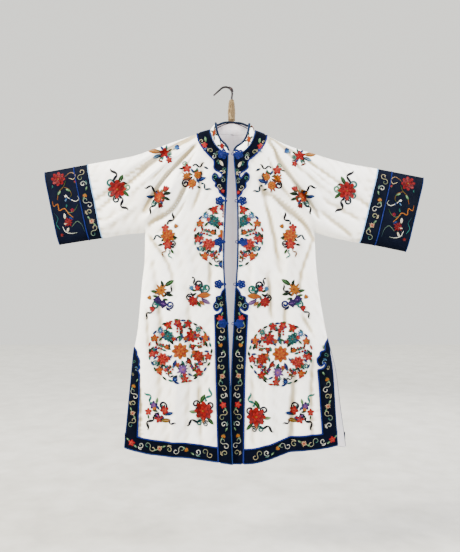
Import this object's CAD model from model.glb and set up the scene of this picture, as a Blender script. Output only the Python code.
"""A white silk robe with dark shaped borders and cuffs, on its hanger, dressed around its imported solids."""

import logging
import math
from dataclasses import dataclass
from enum import Enum
from typing import Any, Iterable, Sequence

import bpy
import numpy as np
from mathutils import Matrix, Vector
from mathutils.geometry import delaunay_2d_cdt


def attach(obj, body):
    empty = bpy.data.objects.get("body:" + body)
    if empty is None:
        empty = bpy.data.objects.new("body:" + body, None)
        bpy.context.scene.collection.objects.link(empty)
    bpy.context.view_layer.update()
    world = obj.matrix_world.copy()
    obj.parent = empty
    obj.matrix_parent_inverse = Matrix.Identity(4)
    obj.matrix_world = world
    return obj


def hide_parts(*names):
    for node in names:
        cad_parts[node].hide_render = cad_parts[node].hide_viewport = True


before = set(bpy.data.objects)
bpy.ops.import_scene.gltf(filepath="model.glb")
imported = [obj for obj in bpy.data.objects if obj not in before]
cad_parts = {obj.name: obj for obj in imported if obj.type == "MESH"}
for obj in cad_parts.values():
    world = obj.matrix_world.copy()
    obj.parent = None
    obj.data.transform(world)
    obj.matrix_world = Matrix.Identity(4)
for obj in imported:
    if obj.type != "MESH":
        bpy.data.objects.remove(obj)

LOG = logging.getLogger("robe")
MM = 0.001
HOOK_X = 22.0  # the robe's centre line lies this far from the hook, in millimetres
BODY = "root"
RIM_ANGLE = math.radians(50)

WALL = 1.6
CUFF_WALL = 2.0
SEAM_GAP = 0.3
TRIM = 1.4  # how far a border's face stands off the cloth
BAND = 45.0
SHOULDER_ROUND = 40.0
SIDE_ROUND = 48.0
SLIT_EASE = 11.0
SLIT_LENGTH = 300.0
NECK_HALF = 70.0
NECK_FOOT_Z = -221.0  # where the neckline meets the open front's edge
HEM_SIDE_Z = -1138.0
HEM_EDGE_Z = -1184.0

Points = np.ndarray
Rows = Sequence[Sequence[float]]
Triple = tuple[float, float, float]
Names = Sequence[str]
Piece = bpy.types.Object


class Face(Enum):
    """The two layers of the robe, and the side that each one looks to."""

    FRONT = -1
    BACK = 1


FRONT, BACK = Face
NECK_DROP = {FRONT: 84.0, BACK: 8.0}


def smoothed(points: Rows, steps: int = 6) -> Points:
    """A smooth line through points.

    Args:
        points: Rows of coordinates.
        steps: How many steps each stretch gets.

    Returns:
        The line's points, the given ones among them.
    """
    p = np.asarray(points, float)
    ends = np.vstack([2 * p[0] - p[1], p, 2 * p[-1] - p[-2]])
    line = [p[:1]]
    for i in range(len(p) - 1):
        a, b, c, d = ends[i : i + 4]
        gaps = [max(float(np.linalg.norm(v)) ** 0.5, 1e-3) for v in (b - a, c - b, d - c)]
        start = ((b - a) / gaps[0] - (c - a) / (gaps[0] + gaps[1]) + (c - b) / gaps[1]) * gaps[1]
        end = ((c - b) / gaps[1] - (d - b) / (gaps[1] + gaps[2]) + (d - c) / gaps[2]) * gaps[1]
        t = (np.arange(1, steps + 1) / steps)[:, None]
        bend = (3 * (c - b) - 2 * start - end) * t**2
        line.append(b + start * t + bend + (2 * (b - c) + start + end) * t**3)
    return np.vstack(line)


def nearest(path: Points, x: Points, z: Points) -> tuple[Points, Points]:
    """How far each place lies from a path of straight stretches, and how far along it, from 0 to 1.

    Args:
        path: The path's points.
        x: The places' first coordinates.
        z: Their second coordinates.

    Returns:
        The distances, and the shares of the path's length.
    """
    steps = np.linalg.norm(np.diff(path, axis=0), axis=1)
    run, whole = 0.0, float(steps.sum())
    best, share = np.full(np.shape(x), np.inf), np.zeros(np.shape(x))
    for (ax, az), (bx, bz), step in zip(path[:-1], path[1:], steps):
        dx, dz = bx - ax, bz - az
        t = np.clip(((x - ax) * dx + (z - az) * dz) / (dx * dx + dz * dz + 1e-12), 0, 1)
        away = np.hypot(x - ax - t * dx, z - az - t * dz)
        share = np.where(away < best, (run + t * step) / whole, share)
        best = np.minimum(best, away)
        run += float(step)
    return best, share


def fold_shape(path: Points, x: Points, z: Points, width: float) -> Points:
    """A fold's rise over a path, from 0 to 1, with a sharper crest and fading ends.

    Args:
        path: The fold's line.
        x: The places' first coordinates.
        z: Their second coordinates.
        width: The distance at which the fold has mostly gone.

    Returns:
        The rise at each place.
    """
    away, share = nearest(path, x, z)
    fade = np.sin(math.pi * (0.12 + 0.82 * share)) ** 0.8
    return fade * (np.exp(-((away / width) ** 2)) + CREST * np.exp(-((away / (0.42 * width)) ** 2)))


def round_to(distance: Points, width: float) -> Points:
    """A quarter-round rise from 0 at the edge to 1 at that width."""
    return np.sqrt(1 - (1 - np.clip(distance / width, 0, 1)) ** 2)


def smooth_step(t: Points) -> Points:
    """A soft step from 0 to 1."""
    t = np.clip(t, 0, 1)
    return t * t * (3 - 2 * t)


def down(rows: Points, column: int, z: Points) -> Points:
    """A column's value at a height, in rows that run downwards in their second column."""
    return np.interp(-np.asarray(z, float), -rows[:, 1], rows[:, column])


def pairs(text: str) -> Points:
    """Reads rows of two numbers."""
    return np.array(text.replace(",", " ").split(), float).reshape(-1, 2)


def fold_rows(text: str) -> list[tuple[Points, float, float]]:
    """Reads fold lines.

    Args:
        text: Points, a colon, and the fold's width and height, with semicolons between folds.

    Returns:
        Each fold's line, width and height.
    """
    parts = [row.split(":") for row in text.split(";")]
    return [(pairs(way), *map(float, size.split())) for way, size in parts]


def run_along(path: Points) -> Points:
    """How far along a path each of its points lies."""
    return np.concatenate([[0], np.cumsum(np.linalg.norm(np.diff(path, axis=0), axis=1))])


@dataclass(frozen=True)
class Half:
    """One half of the robe: its seams and edges in millimetres, outwards from the centre line."""

    name: str
    sign: int
    armhole: float
    underarm: float
    slit_top: float
    neck_z: float
    top: Points
    underside: Points
    side: Points
    front_edge: Points
    hem: Points
    back_drop: Rows
    back_flare: Rows
    folds: list[tuple[Points, float, float]]
    seams: Points

    def top_line(self, out: Points) -> Points:
        """The height of the neckline's middle, the shoulder and the sleeve's top at a distance out."""
        neck = self.neck_z + NECK_HALF * np.sqrt(np.clip(1 - (np.asarray(out, float) / NECK_HALF) ** 2, 0, 1))
        return np.where(out >= NECK_HALF, np.interp(out, self.top[:, 0], self.top[:, 1]), neck)

    def edge(self, z: Points) -> Points:
        """Where the open front's edge lies at a height."""
        return down(self.front_edge, 0, z)

    def side_out(self, face: Face, z: Points) -> Points:
        """Where the side seam or the slit's edge lies at a height."""
        flare = np.interp(-np.asarray(z, float), *self.back_flare) if face is BACK else 0.0
        return down(self.side, 0, z) + flare

    def hem_z(self, face: Face, out: Points) -> Points:
        """The hem's height at a distance out."""
        drop = np.interp(out, *self.back_drop) if face is BACK else 0.0
        return np.interp(out, self.hem[:, 0], self.hem[:, 1]) - drop


RIGHT = Half(
    "r", -1, 277, -460, -812, -135,
    smoothed(pairs("70 -135, 112 -147, 249 -195, 315 -217, 407 -234, 458 -243, 594 -268")),
    smoothed(pairs("277 -460, 339 -465, 411 -477, 453 -483, 547 -498")),
    smoothed(pairs(
        "277 -460, 279 -555, 286 -614, 293 -691, 300 -763, 311 -831, 317 -891, 329 -1021, 340 -1138")),
    smoothed(pairs("14 -140, 14 -221, 20 -361, 26 -547, 23 -624, 15 -748, 10 -888, 3 -1105, 0 -1184")),
    smoothed(pairs("-1 -1183, 70 -1172, 151 -1161, 210 -1157, 269 -1151, 340 -1136")),
    ((0, 340), (0, 0)),
    ((812, 1138), (0, 0)),
    fold_rows("""
    122 -162, 233 -226, 338 -314, 417 -384: 17 -10; 122 -194, 179 -251, 233 -314, 274 -390: 16 -11;
    163 -283, 208 -352, 274 -422: 15 9; 147 -321, 185 -384, 258 -432: 15 -9; 132 -324, 170 -390: 13 4;
    71 -555, 71 -644: 16 -4; 105 -929, 100 -1120: 18 -5; 250 -560, 225 -760, 232 -1000: 26 -5;
    175 -900, 185 -1150: 24 5; 114 -150, 205 -198, 300 -262, 400 -330, 452 -372: 7 -3.2;
    116 -178, 170 -226, 226 -284, 268 -342: 6 3; 118 -212, 150 -262, 186 -318, 222 -372: 7 -3.4;
    180 -222, 262 -286, 352 -350: 7 2.6; 330 -300, 420 -352, 470 -392: 12 -3.5;
    300 -372, 380 -424, 440 -452: 11 3.2; 140 -345, 176 -412, 236 -462: 7 -2.6;
    96 -250, 104 -330, 128 -400: 12 -3; 200 -430, 150 -520, 120 -640: 20 3.4;
    262 -470, 200 -560, 176 -660: 16 -3.4; 270 -700, 262 -860: 14 -3; 60 -760, 64 -1000: 16 2.6;
    140 -640, 134 -860, 146 -1100: 20 -3.2; 300 -840, 288 -1010, 296 -1130: 13 -3.4
"""),
    pairs("277 277, 458 411, 502 453, 594 547"),
)
LEFT = Half(
    "l", 1, 260, -458, -790, -137,
    smoothed(pairs("70 -137, 110 -153, 173 -183, 250 -208, 354 -238, 459 -257, 604 -285")),
    smoothed(pairs("260 -458, 309 -473, 401 -492, 450 -500, 548 -520")),
    smoothed(pairs("260 -458, 264 -555, 274 -647, 288 -730, 301 -799, 315 -894, 323 -1021, 331 -1138")),
    smoothed(pairs("4 -140, 4 -221, 14 -361, 14 -547, 10 -624, 4 -748, -3 -888, -8 -1105, -10 -1184")),
    smoothed(pairs("-10 -1183, 39 -1182, 73 -1178, 116 -1166, 172 -1147, 225 -1141, 272 -1137, 331 -1128")),
    ((0, 200, 360), (0, 4, 12)),
    ((790, 895, 1138), (0, 12, 29)),
    fold_rows("""
    116 -175, 147 -238, 185 -295, 246 -375, 265 -410: 16 -11; 138 -178, 192 -232, 211 -264: 14 -5;
    147 -260, 211 -365, 258 -419: 14 6; 109 -337, 173 -384, 227 -438, 250 -479: 20 -10;
    87 -295, 100 -356, 122 -438, 147 -578: 20 -6; 109 -590, 122 -736: 18 -5; 163 -682, 163 -758: 16 -4;
    220 -723, 249 -777: 16 -4; 190 -914, 185 -1040, 178 -1170: 26 -9; 271 -391, 379 -473: 17 -5;
    287 -359, 398 -419: 15 -4; 114 -160, 200 -214, 300 -282, 410 -352: 7 -3;
    120 -196, 160 -258, 202 -322, 240 -372: 6 3; 112 -232, 142 -300, 186 -362: 7 -3.2;
    196 -236, 272 -300, 340 -350: 8 2.6; 330 -310, 412 -366, 468 -404: 12 -3.4;
    120 -352, 176 -420, 222 -462: 7 2.6; 210 -440, 176 -540, 160 -640: 18 3.4;
    252 -480, 214 -590, 206 -690: 15 -3.2; 70 -560, 66 -700: 14 2.6;
    120 -800, 112 -1000, 120 -1150: 18 3.4; 250 -860, 244 -1010, 250 -1120: 15 -3.6;
    60 -900, 64 -1120: 14 -3
"""),
    pairs("260 260, 459 401, 504 450, 604 548"),
)
HALVES = (RIGHT, LEFT)
LAYER_DEPTH = {
    FRONT: ((135, 300, 700, 1190), (38, 44, 40, 36)),
    BACK: ((135, 300, 700, 1190), (26, 30, 26, 24)),
}
SLEEVE_FLATNESS = ((0, 190, 277, 411, 604), (1, 1, 0.74, 0.46, 0.38))
BACK_SOFTNESS = 0.75
VALLEY_DEPTH = 8.5  # the hollow, in millimetres, at which the silk's fold tone is full
FOLD_GAIN = 1.6
CREST = 0.42  # how much a fold's crest sharpens


@dataclass(frozen=True)
class Cloth:
    """One layer of one half of the robe, as a height over the flat front view."""

    half: Half
    face: Face

    @property
    def label(self) -> str:
        """The layer's and the half's names."""
        return f"{self.face.name.lower()}_{self.half.name}"

    @property
    def turned(self) -> bool:
        """Whether its outside looks the other way from its flat view."""
        return self.half.sign * self.face.value > 0

    def creases(self, out: Points, z: Points) -> Points:
        """The rise of folds, fine ripples and the puckers beside the cuff seams."""
        other = RIGHT if self.half is LEFT else LEFT
        rows = self.half.folds if self.face is FRONT else other.folds
        softness = 1.0 if self.face is FRONT else BACK_SOFTNESS
        rise = np.zeros(np.shape(out))
        for path, width, height in rows:
            rise += softness * height * fold_shape(smoothed(path, 3), out, z, width)
        turn = 0.7 if self.face is FRONT else 2.3
        rise += 0.55 * np.sin(out * 0.071 + z * 0.043 + turn) * np.sin(z * 0.029 - out * 0.017)
        rise += 0.32 * np.sin(out * 0.19 + z * 0.061 + 2 * turn) * np.sin(z * 0.083 + out * 0.023 + turn)
        top_a, low_a = self.half.seams[1]
        slope = (top_a - low_a) / (self.half.top_line(top_a) - np.interp(low_a, *self.half.underside.T))
        seam = top_a + (z - self.half.top_line(top_a)) * slope
        inside = np.clip(seam - out, 0, None)
        pucker = np.exp(-inside / 26.0) * (out < seam + 1) * smooth_step((inside + 4) / 8)
        return FOLD_GAIN * rise + 1.5 * pucker * np.sin(z * 0.34 + np.sin(z * 0.07) * 2 + turn)

    def valley(self, out: Points, z: Points) -> Points:
        """How deep each place lies in a fold's valley, from 0 to 1."""
        reach = 12.0
        middle = self.creases(out, z)
        round_it = self.creases(out - reach, z) + self.creases(out + reach, z)
        round_it = round_it + self.creases(out, z - reach) + self.creases(out, z + reach)
        return np.clip((round_it - 4 * middle) / VALLEY_DEPTH, 0, 1)

    def depth(self, out: Points, z: Points) -> Points:
        """How far the cloth stands in front of or behind the hanger's plane."""
        half = self.half
        far = np.maximum(out, 0)
        from_top = (half.top_line(far) - z) * 0.94
        flare = np.interp(-z, *half.back_flare) if self.face is BACK else 0.0
        boundary = np.vstack([half.underside[::-1], half.side[1:]])
        ease = SLIT_EASE * np.clip((half.slit_top - z) / SLIT_LENGTH, 0, 1)
        from_side = nearest(boundary, far - flare, z)[0] + ease
        flat = np.interp(far, *SLEEVE_FLATNESS)
        depth = np.interp(-z, *LAYER_DEPTH[self.face]) * flat + self.creases(far, z) * np.sqrt(flat)
        if self.face is FRONT and half is LEFT:
            depth = depth - 8.0 * smooth_step((-720 - z) / 160) * (1 - smooth_step(out / 70))
        return np.maximum(depth * round_to(from_top, SHOULDER_ROUND) * round_to(from_side, SIDE_ROUND), 0)

    def flat_point(self, out: Points, z: Points) -> Points:
        """Places on the cloth, in millimetres round the robe's centre line."""
        return np.stack([self.half.sign * out, self.face.value * (self.depth(out, z) + SEAM_GAP / 2), z], -1)

    def lifted(self, out: Points, z: Points, lift: Points | float) -> Points:
        """Places at a distance off the cloth, kept inside its outline.

        Args:
            out: Distances from the centre line.
            z: Heights.
            lift: How far off the cloth each place lies.

        Returns:
            Rows of x, y and z in metres, in the part's frame.
        """
        out = np.asarray(out, float)
        z = np.minimum(np.asarray(z, float), self.half.top_line(np.maximum(out, 0)) - 0.4)
        step = 1.0
        across = self.half.sign * (self.depth(out + step, z) - self.depth(out - step, z)) / (2 * step)
        up = (self.depth(out, z + step / 2) - self.depth(out, z - step / 2)) / step
        normal = np.stack([-across, np.full(out.shape, float(self.face.value)), -up], -1)
        normal /= np.linalg.norm(normal, axis=-1, keepdims=True)
        return placed(self.flat_point(out, z) + normal * np.asarray(lift, float)[..., None])


def placed(points: Points) -> Points:
    """Points round the robe's centre line in millimetres, turned into the part's frame in metres."""
    return (points + np.array([HOOK_X, 0, 0])) * MM


# Materials


def maths(kind: str, reflected: bool = False) -> Any:
    """Makes a method that adds a maths node.

    Args:
        kind: The node's operation.
        reflected: Whether the values change places.

    Returns:
        The method.
    """

    def method(self: "Value", *others: Any) -> "Value":
        """Puts the node on this value and the others."""
        values = [self, *others][:: -1 if reflected else 1]
        node = self.nodes.add("ShaderNodeMath", {"operation": kind}, values)
        return Value(self.nodes, node.outputs[0])

    return method


class Value:
    """A number in a material's nodes, on which Python's operators add maths nodes."""

    def __init__(self, nodes: "Nodes", socket: Any) -> None:
        """Keeps the nodes and the output socket."""
        self.nodes = nodes
        self.socket = socket

    __add__ = __radd__ = maths("ADD")
    __sub__ = maths("SUBTRACT")
    __rsub__ = maths("SUBTRACT", True)
    __mul__ = __rmul__ = maths("MULTIPLY")
    sine = maths("SINE")
    power = maths("POWER")

    def between(self, low: float, high: float) -> "Value":
        """0 below low, 1 above high, and straight between."""
        spread = {"clamp": True}
        values = {"Value": self, "From Min": low, "From Max": high}
        return Value(self.nodes, self.nodes.add("ShaderNodeMapRange", spread, values).outputs[0])


class Nodes:
    """The node tree of one material."""

    def __init__(self, name: str) -> None:
        """Makes the material with a shader and its output."""
        self.material = bpy.data.materials.new(name)
        self.material.use_nodes = True
        self.tree = self.material.node_tree
        self.tree.nodes.clear()
        self.shader = self.add("ShaderNodeBsdfPrincipled")
        self.add("ShaderNodeOutputMaterial", {}, {"Surface": self.shader.outputs[0]})

    def add(self, kind: str, settings: dict[str, Any] | None = None, values: Any = None) -> bpy.types.Node:
        """Adds a node.

        Args:
            kind: The node's type.
            settings: Properties that are set first.
            values: Values or links for its sockets, by name or in order.

        Returns:
            The node.
        """
        node = self.tree.nodes.new(kind)
        for key, setting in (settings or {}).items():
            setattr(node, key, setting)
        pairs = values.items() if isinstance(values, dict) else enumerate(values or [])
        for key, value in pairs:
            self.feed(node.inputs[key], value)
        return node

    def feed(self, socket: Any, value: Any) -> None:
        """Links a value or a socket to an input, or sets it."""
        if isinstance(value, Value):
            value = value.socket
        if isinstance(value, bpy.types.NodeSocket):
            self.tree.links.new(value, socket)
        else:
            socket.default_value = value

    def finish(self, **sockets: Any) -> bpy.types.Material:
        """Sets the shader's sockets, whose names are given with underscores, and returns the material."""
        for name, value in sockets.items():
            self.feed(self.shader.inputs[name.replace("_", " ")], value)
        return self.material

    def place(self) -> tuple[Value, Value, Value]:
        """The place in the part's frame as three values."""
        coordinates = self.add("ShaderNodeTexCoord").outputs["Object"]
        split = self.add("ShaderNodeSeparateXYZ", {}, [coordinates])
        return tuple(Value(self, output) for output in split.outputs)

    def noise(self, scale: float, detail: float = 3.0, stretch: Sequence[float] = (1, 1, 1)) -> Value:
        """Soft noise on the place in the part's frame, stretched along its axes."""
        coordinates = self.add("ShaderNodeTexCoord").outputs["Object"]
        mapped = self.add("ShaderNodeMapping", {}, {"Vector": coordinates, "Scale": tuple(stretch)})
        inputs = {"Vector": mapped.outputs[0], "Scale": scale, "Detail": detail}
        return Value(self, self.add("ShaderNodeTexNoise", {}, inputs).outputs[0])

    def attribute(self, name: str, output: str = "Fac") -> Any:
        """An attribute of the piece's own mesh."""
        return self.add("ShaderNodeAttribute", {"attribute_name": name}).outputs[output]

    def blend(self, share: Any, low: Any, high: Any, mode: str = "MIX") -> Any:
        """A colour between two colours."""
        node = self.add("ShaderNodeMix", {"data_type": "RGBA", "blend_type": mode}, {0: share})
        self.feed(node.inputs[6], low)
        self.feed(node.inputs[7], high)
        return node.outputs[2]

    def bump(self, height: Value, depth: float, under: Any = None) -> Any:
        """A normal with a height's relief, on top of another normal where one is given."""
        node = self.add("ShaderNodeBump", {}, {"Height": height, "Distance": depth})
        if under is not None:
            self.feed(node.inputs["Normal"], under)
        return node.outputs[0]


def colour(code: str) -> tuple[float, float, float, float]:
    """A colour from its six hexadecimal digits, in linear light."""
    parts = [int(code[i : i + 2], 16) / 255 for i in (0, 2, 4)]
    linear = [c / 12.92 if c <= 0.04045 else ((c + 0.055) / 1.055) ** 2.4 for c in parts]
    return (*linear, 1.0)


@dataclass(frozen=True)
class SatinFinish:
    """Woven silk: soft colour variation, a fine twill, small wrinkles and a sheen."""

    name: str
    light: str
    shade: str
    roughness: float = 0.42
    thread: float = 2300.0
    wrinkle: float = 0.0012
    sheen: float = 0.25
    stripes: float = 0.0
    gloss: float = 0.4
    glow: float = 0.0
    fold: str = ""

    def build(self) -> bpy.types.Material:
        """The finish as a material."""
        nodes = Nodes(self.name)
        x, _, z = nodes.place()
        broad = nodes.noise(7, 4, (1, 1, 0.5))
        fine = nodes.noise(60, 5, (1, 1, 0.6))
        share = (broad.between(0.35, 0.72) * 0.7 + fine.between(0.4, 0.8) * 0.3)
        base = nodes.blend(share, colour(self.light), colour(self.shade))
        if self.stripes:
            pleat = (x * self.stripes + nodes.noise(4, 2, (1, 1, 0.15)) * 3).sine().between(0.75, 1.0)
            base = nodes.blend(pleat * 0.35, base, colour(self.shade))
        if self.fold:
            deep = Value(nodes, nodes.attribute("crease"))
            base = nodes.blend(deep * (broad.between(0.2, 0.6) * 0.4 + 0.6), base, colour(self.fold))
        twill = ((x + z * 0.6) * self.thread).sine()
        slub = nodes.noise(240, 3, (0.12, 1, 1))
        weave = nodes.bump(twill * 0.4 + slub, 0.00025)
        crinkle = nodes.noise(26, 5, (1, 1, 0.55))
        normal = nodes.bump(crinkle, self.wrinkle, weave)
        rough = fine.between(0.3, 0.8) * 0.12 + self.roughness
        return nodes.finish(
            Base_Color=base, Roughness=rough, Normal=normal, Sheen_Weight=self.sheen, Sheen_Roughness=0.35,
            Specular_IOR_Level=self.gloss, Emission_Color=base, Emission_Strength=self.glow,
        )


@dataclass(frozen=True)
class ThreadFinish:
    """Embroidery in the piece's own colours, with the run of its stitches."""

    name: str = "embroidery"
    attribute: str = "tint"

    def build(self) -> bpy.types.Material:
        """The finish as a material."""
        nodes = Nodes(self.name)
        strand = Value(nodes, nodes.attribute("strand"))
        ridge = (strand * 6.3).sine()
        tint = nodes.attribute(self.attribute, "Color")
        patch = nodes.noise(300, 2).between(0.3, 0.7)
        base = nodes.blend(ridge.between(-1.0, 0.6) * 0.2 + patch * 0.1, tint, colour("0c0a12"))
        normal = nodes.bump(ridge, 0.0003)
        return nodes.finish(
            Base_Color=base, Roughness=patch * 0.15 + 0.4, Normal=normal, Specular_IOR_Level=0.1,
        )


@dataclass(frozen=True)
class CordFinish:
    """Twisted or wrapped cord, whose strands follow its own run."""

    name: str
    light: str
    dark: str
    pitch: float = 1900.0
    turns: float = 2.0
    depth: float = 0.0004
    roughness: float = 0.45
    metallic: float = 0.0
    wear: str = ""
    gloss: float = 0.4

    def build(self) -> bpy.types.Material:
        """The finish as a material."""
        nodes = Nodes(self.name)
        run = Value(nodes, nodes.attribute("run"))
        around = Value(nodes, nodes.attribute("around"))
        ply = (run * self.pitch + around * (6.2832 * self.turns)).sine()
        patch = nodes.noise(45, 4)
        share = ply.between(-1, 1) * 0.45 + patch.between(0.35, 0.7) * 0.5
        base = nodes.blend(share, colour(self.light), colour(self.dark))
        if self.wear:
            base = nodes.blend(nodes.noise(70, 6).between(0.56, 0.66), base, colour(self.wear))
        normal = nodes.bump(ply + patch * 1.5, self.depth)
        rough = patch.between(0.3, 0.8) * 0.2 + self.roughness
        return nodes.finish(
            Base_Color=base, Roughness=rough, Normal=normal, Metallic=self.metallic,
            Specular_IOR_Level=self.gloss,
        )


class Slot(Enum):
    """The record's material slots."""

    SILK = "silk"
    CUFF = "cuff_silk"
    BORDER = "border"
    CORD = "cord"
    LINING = "lining"
    WIRE = "hook_wire"
    WRAP = "neck_wrap"
    BAR = "bar_coat"


MATERIALS: dict[str, bpy.types.Material] = {
    f.name: f.build()
    for f in (
        SatinFinish("white_silk", "fefdf8", "efe9dd", 0.4, sheen=0.1, fold="a89874"),
        SatinFinish("dark_silk", "010413", "000208", 0.7, wrinkle=0.0006, sheen=0.0, gloss=0.03),
        SatinFinish("cuff_dark_silk", "010516", "00030b", 0.65, wrinkle=0.0008, sheen=0.0, gloss=0.04),
        SatinFinish(
            "pale_lining", "dfe3e8", "d6c6ca", 0.5, wrinkle=0.0018, sheen=0.1, stripes=260.0, glow=0.24,
        ),
        ThreadFinish(),
        CordFinish("blue_cord", "041a62", "020a30", gloss=0.1),
        CordFinish("pale_blue_edge", "8fb8dc", "4a7cb8"),
        CordFinish("navy_edge", "08265a", "041434", gloss=0.1),
        CordFinish("dark_edge", "061e3c", "030f22", gloss=0.1),
        CordFinish("tan_tape", "715c3c", "4c3a20", 900.0, 1.0, 0.0006, 0.7, wear="917c56"),
        CordFinish("dark_wire", "130d12", "080507", 300.0, 0.0, 0.0001, 0.4, 0.2, wear="2c1c1a", gloss=0.3),
        CordFinish("worn_sleeve", "1a1016", "0b070b", 500.0, 1.0, 0.0005, 0.6, wear="3c2620", gloss=0.3),
        CordFinish("plum_coat", "1c0a12", "0c0408", 200.0, 1.0, 0.0002, 0.5, gloss=0.2),
    )
}


# Pieces


def linked(name: str, data: Any) -> Piece:
    """A new object in the scene."""
    made = bpy.data.objects.new(name, data)
    bpy.context.scene.collection.objects.link(made)
    return made


def as_object(
    name: str, points: Points, faces: Sequence[Sequence[int]], materials: Names,
    which: Sequence[int] | None = None, **marks: Points | None,
) -> Piece:
    """Makes a mesh object in the part's frame.

    Args:
        name: The piece's name.
        points: Its points in metres.
        faces: Its faces as rows of point numbers.
        materials: The names of its materials.
        which: The material number of each face.
        marks: What its finish reads at each point: tint is the thread's colour, strand the distance across
            the stitches in strands, and crease how deep the point lies in a fold.

    Returns:
        The object, linked to the scene.
    """
    mesh = bpy.data.meshes.new(name)
    mesh.from_pydata(np.asarray(points).tolist(), [], [list(map(int, f)) for f in faces])
    for material in materials:
        mesh.materials.append(MATERIALS[material])
    if which is not None:
        mesh.polygons.foreach_set("material_index", np.asarray(which, np.int32))
    mesh.polygons.foreach_set("use_smooth", np.ones(len(mesh.polygons), bool))
    for label, values in marks.items():
        if values is None:
            continue
        if label == "tint":
            layer, field = mesh.color_attributes.new(label, "FLOAT_COLOR", "POINT"), "color"
        else:
            layer, field = mesh.attributes.new(label, "FLOAT", "POINT"), "value"
        layer.data.foreach_set(field, np.asarray(values, np.float32).ravel())
    mesh.update()
    mesh.set_sharp_from_angle(angle=RIM_ANGLE)
    return linked(name, mesh)


def settle(piece: Piece, replaced: Iterable[str] = ()) -> Piece:
    """Rides a piece on the robe's body and the solids that it stands for."""
    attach(piece, BODY)
    if replaced:
        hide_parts(*replaced)
    LOG.info("%s: %d faces", piece.name, len(piece.data.polygons))
    return piece


def grid_normals(grid: Points, closed: bool) -> Points:
    """Unit normals of a grid of points, whose columns may run round."""
    ring = np.concatenate([grid[:, -1:], grid, grid[:, :1]], 1) if closed else grid
    across = np.gradient(ring, axis=1)
    across = across[:, 1:-1] if closed else across
    normal = np.cross(across, np.gradient(grid, axis=0))
    return normal / np.maximum(np.linalg.norm(normal, axis=-1, keepdims=True), 1e-12)


def shell(
    grid: Points, wall: float, closed: bool, turned: bool,
) -> tuple[Points, list[list[int]], list[int]]:
    """A thin wall behind a grid of points.

    Args:
        grid: Rows and columns of points, the wall's outside.
        wall: Its thickness, in the points' unit.
        closed: Whether the columns run round.
        turned: Whether the outside lies on the other side of the grid's own normal.

    Returns:
        Points, faces, and 1 for each face of the inside, 0 for the others.
    """
    normal = grid_normals(grid, closed) * (-1 if turned else 1)
    rows, columns = grid.shape[:2]
    points = np.vstack([grid.reshape(-1, 3), (grid - normal * wall).reshape(-1, 3)])
    count = rows * columns
    number = np.arange(count).reshape(rows, columns)
    number = np.hstack([number, number[:, :1]]) if closed else number
    quads = np.stack([number[:-1, :-1], number[:-1, 1:], number[1:, 1:], number[1:, :-1]], -1).reshape(-1, 4)
    rim = [number[0, ::-1], number[-1]]
    if not closed:
        rim += [number[:, 0], number[::-1, -1]]
    sides = np.vstack([np.stack([r[:-1], r[:-1] + count, r[1:] + count, r[1:]], -1) for r in rim])
    faces = np.vstack([quads, quads[:, ::-1] + count, sides])
    if turned:
        faces = faces[:, ::-1]
    which = [0] * len(quads) + [1] * len(quads) + [0] * len(sides)
    return points, faces.tolist(), which


def column_starts(half: Half, drop: float, start_out: float, count: int) -> tuple[Points, ...]:
    """Where a body panel's columns start on the neckline and shoulder, and their shares of the width."""
    neck_low = 0.24
    turn = np.linspace(math.asin(start_out / NECK_HALF), math.pi / 2, 16)
    neck = (NECK_HALF * np.sin(turn), half.neck_z - drop * np.cos(turn), neck_low * np.linspace(0, 1, 16))
    share = 1 - (1 - np.linspace(0, 1, count)[1:]) ** 1.5
    out = NECK_HALF + (half.armhole - NECK_HALF) * share
    shoulder = (out, half.top_line(out), neck_low + (1 - neck_low) * share)
    return tuple(np.concatenate(pair) for pair in zip(neck, shoulder))


def panel_grid(half: Half, face: Face) -> Points:
    """The points of one half of a front or back panel, rows from the shoulder to the hem."""
    middle = face is BACK
    edge = (lambda z: np.zeros(np.shape(z))) if middle else half.edge
    start_out = 0.0 if middle else float(half.edge(NECK_FOOT_Z))
    start, start_z, low = column_starts(half, NECK_DROP[face], start_out, 46)
    upper = np.linspace(0, 1, 66)[:, None] ** 1.8
    z_up = start_z + (half.underarm - start_z) * upper
    start_share = (start - edge(start_z)) / (half.armhole - edge(start_z))
    out_up = edge(z_up) + (half.armhole - edge(z_up)) * (start_share + (low - start_share) * upper)
    foot = float(edge(np.array(HEM_EDGE_Z)))
    hem_out = foot + (half.side_out(face, HEM_SIDE_Z) - foot) * low
    lower = np.linspace(0, 1, 121)[1:, None]
    z_low = half.underarm + (half.hem_z(face, hem_out) - half.underarm) * lower
    out_low = edge(z_low) + (half.side_out(face, z_low) - edge(z_low)) * low
    return Cloth(half, face).flat_point(np.vstack([out_up, out_low]), np.vstack([z_up, z_low]))


def tube_grid(half: Half, first: int, steps: int) -> Points:
    """The points of a sleeve or cuff between two of its seams, one row a ring."""
    (top_a, low_a), (top_b, low_b) = half.seams[first], half.seams[first + 1]
    around = (1 - np.cos(np.linspace(0, math.pi, 46))) / 2
    rows = []
    for share in np.linspace(0, 1, steps + 1):
        nudge = SEAM_GAP / 2 * (share == 0) * (first > 0) - SEAM_GAP / 2 * (share == 1)
        top = top_a + (top_b - top_a) * share + nudge
        low = low_a + (low_b - low_a) * share + nudge
        low_z = float(np.interp(low, *half.underside.T))
        out = top + (low - top) * around
        z = float(half.top_line(top)) + (low_z - float(half.top_line(top))) * around
        front = Cloth(half, FRONT).flat_point(out, z)
        back = Cloth(half, BACK).flat_point(out, z)
        front[[0, -1], 1] = 0
        rows.append(np.vstack([front, back[-2:0:-1]]))
    return np.array(rows)


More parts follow.
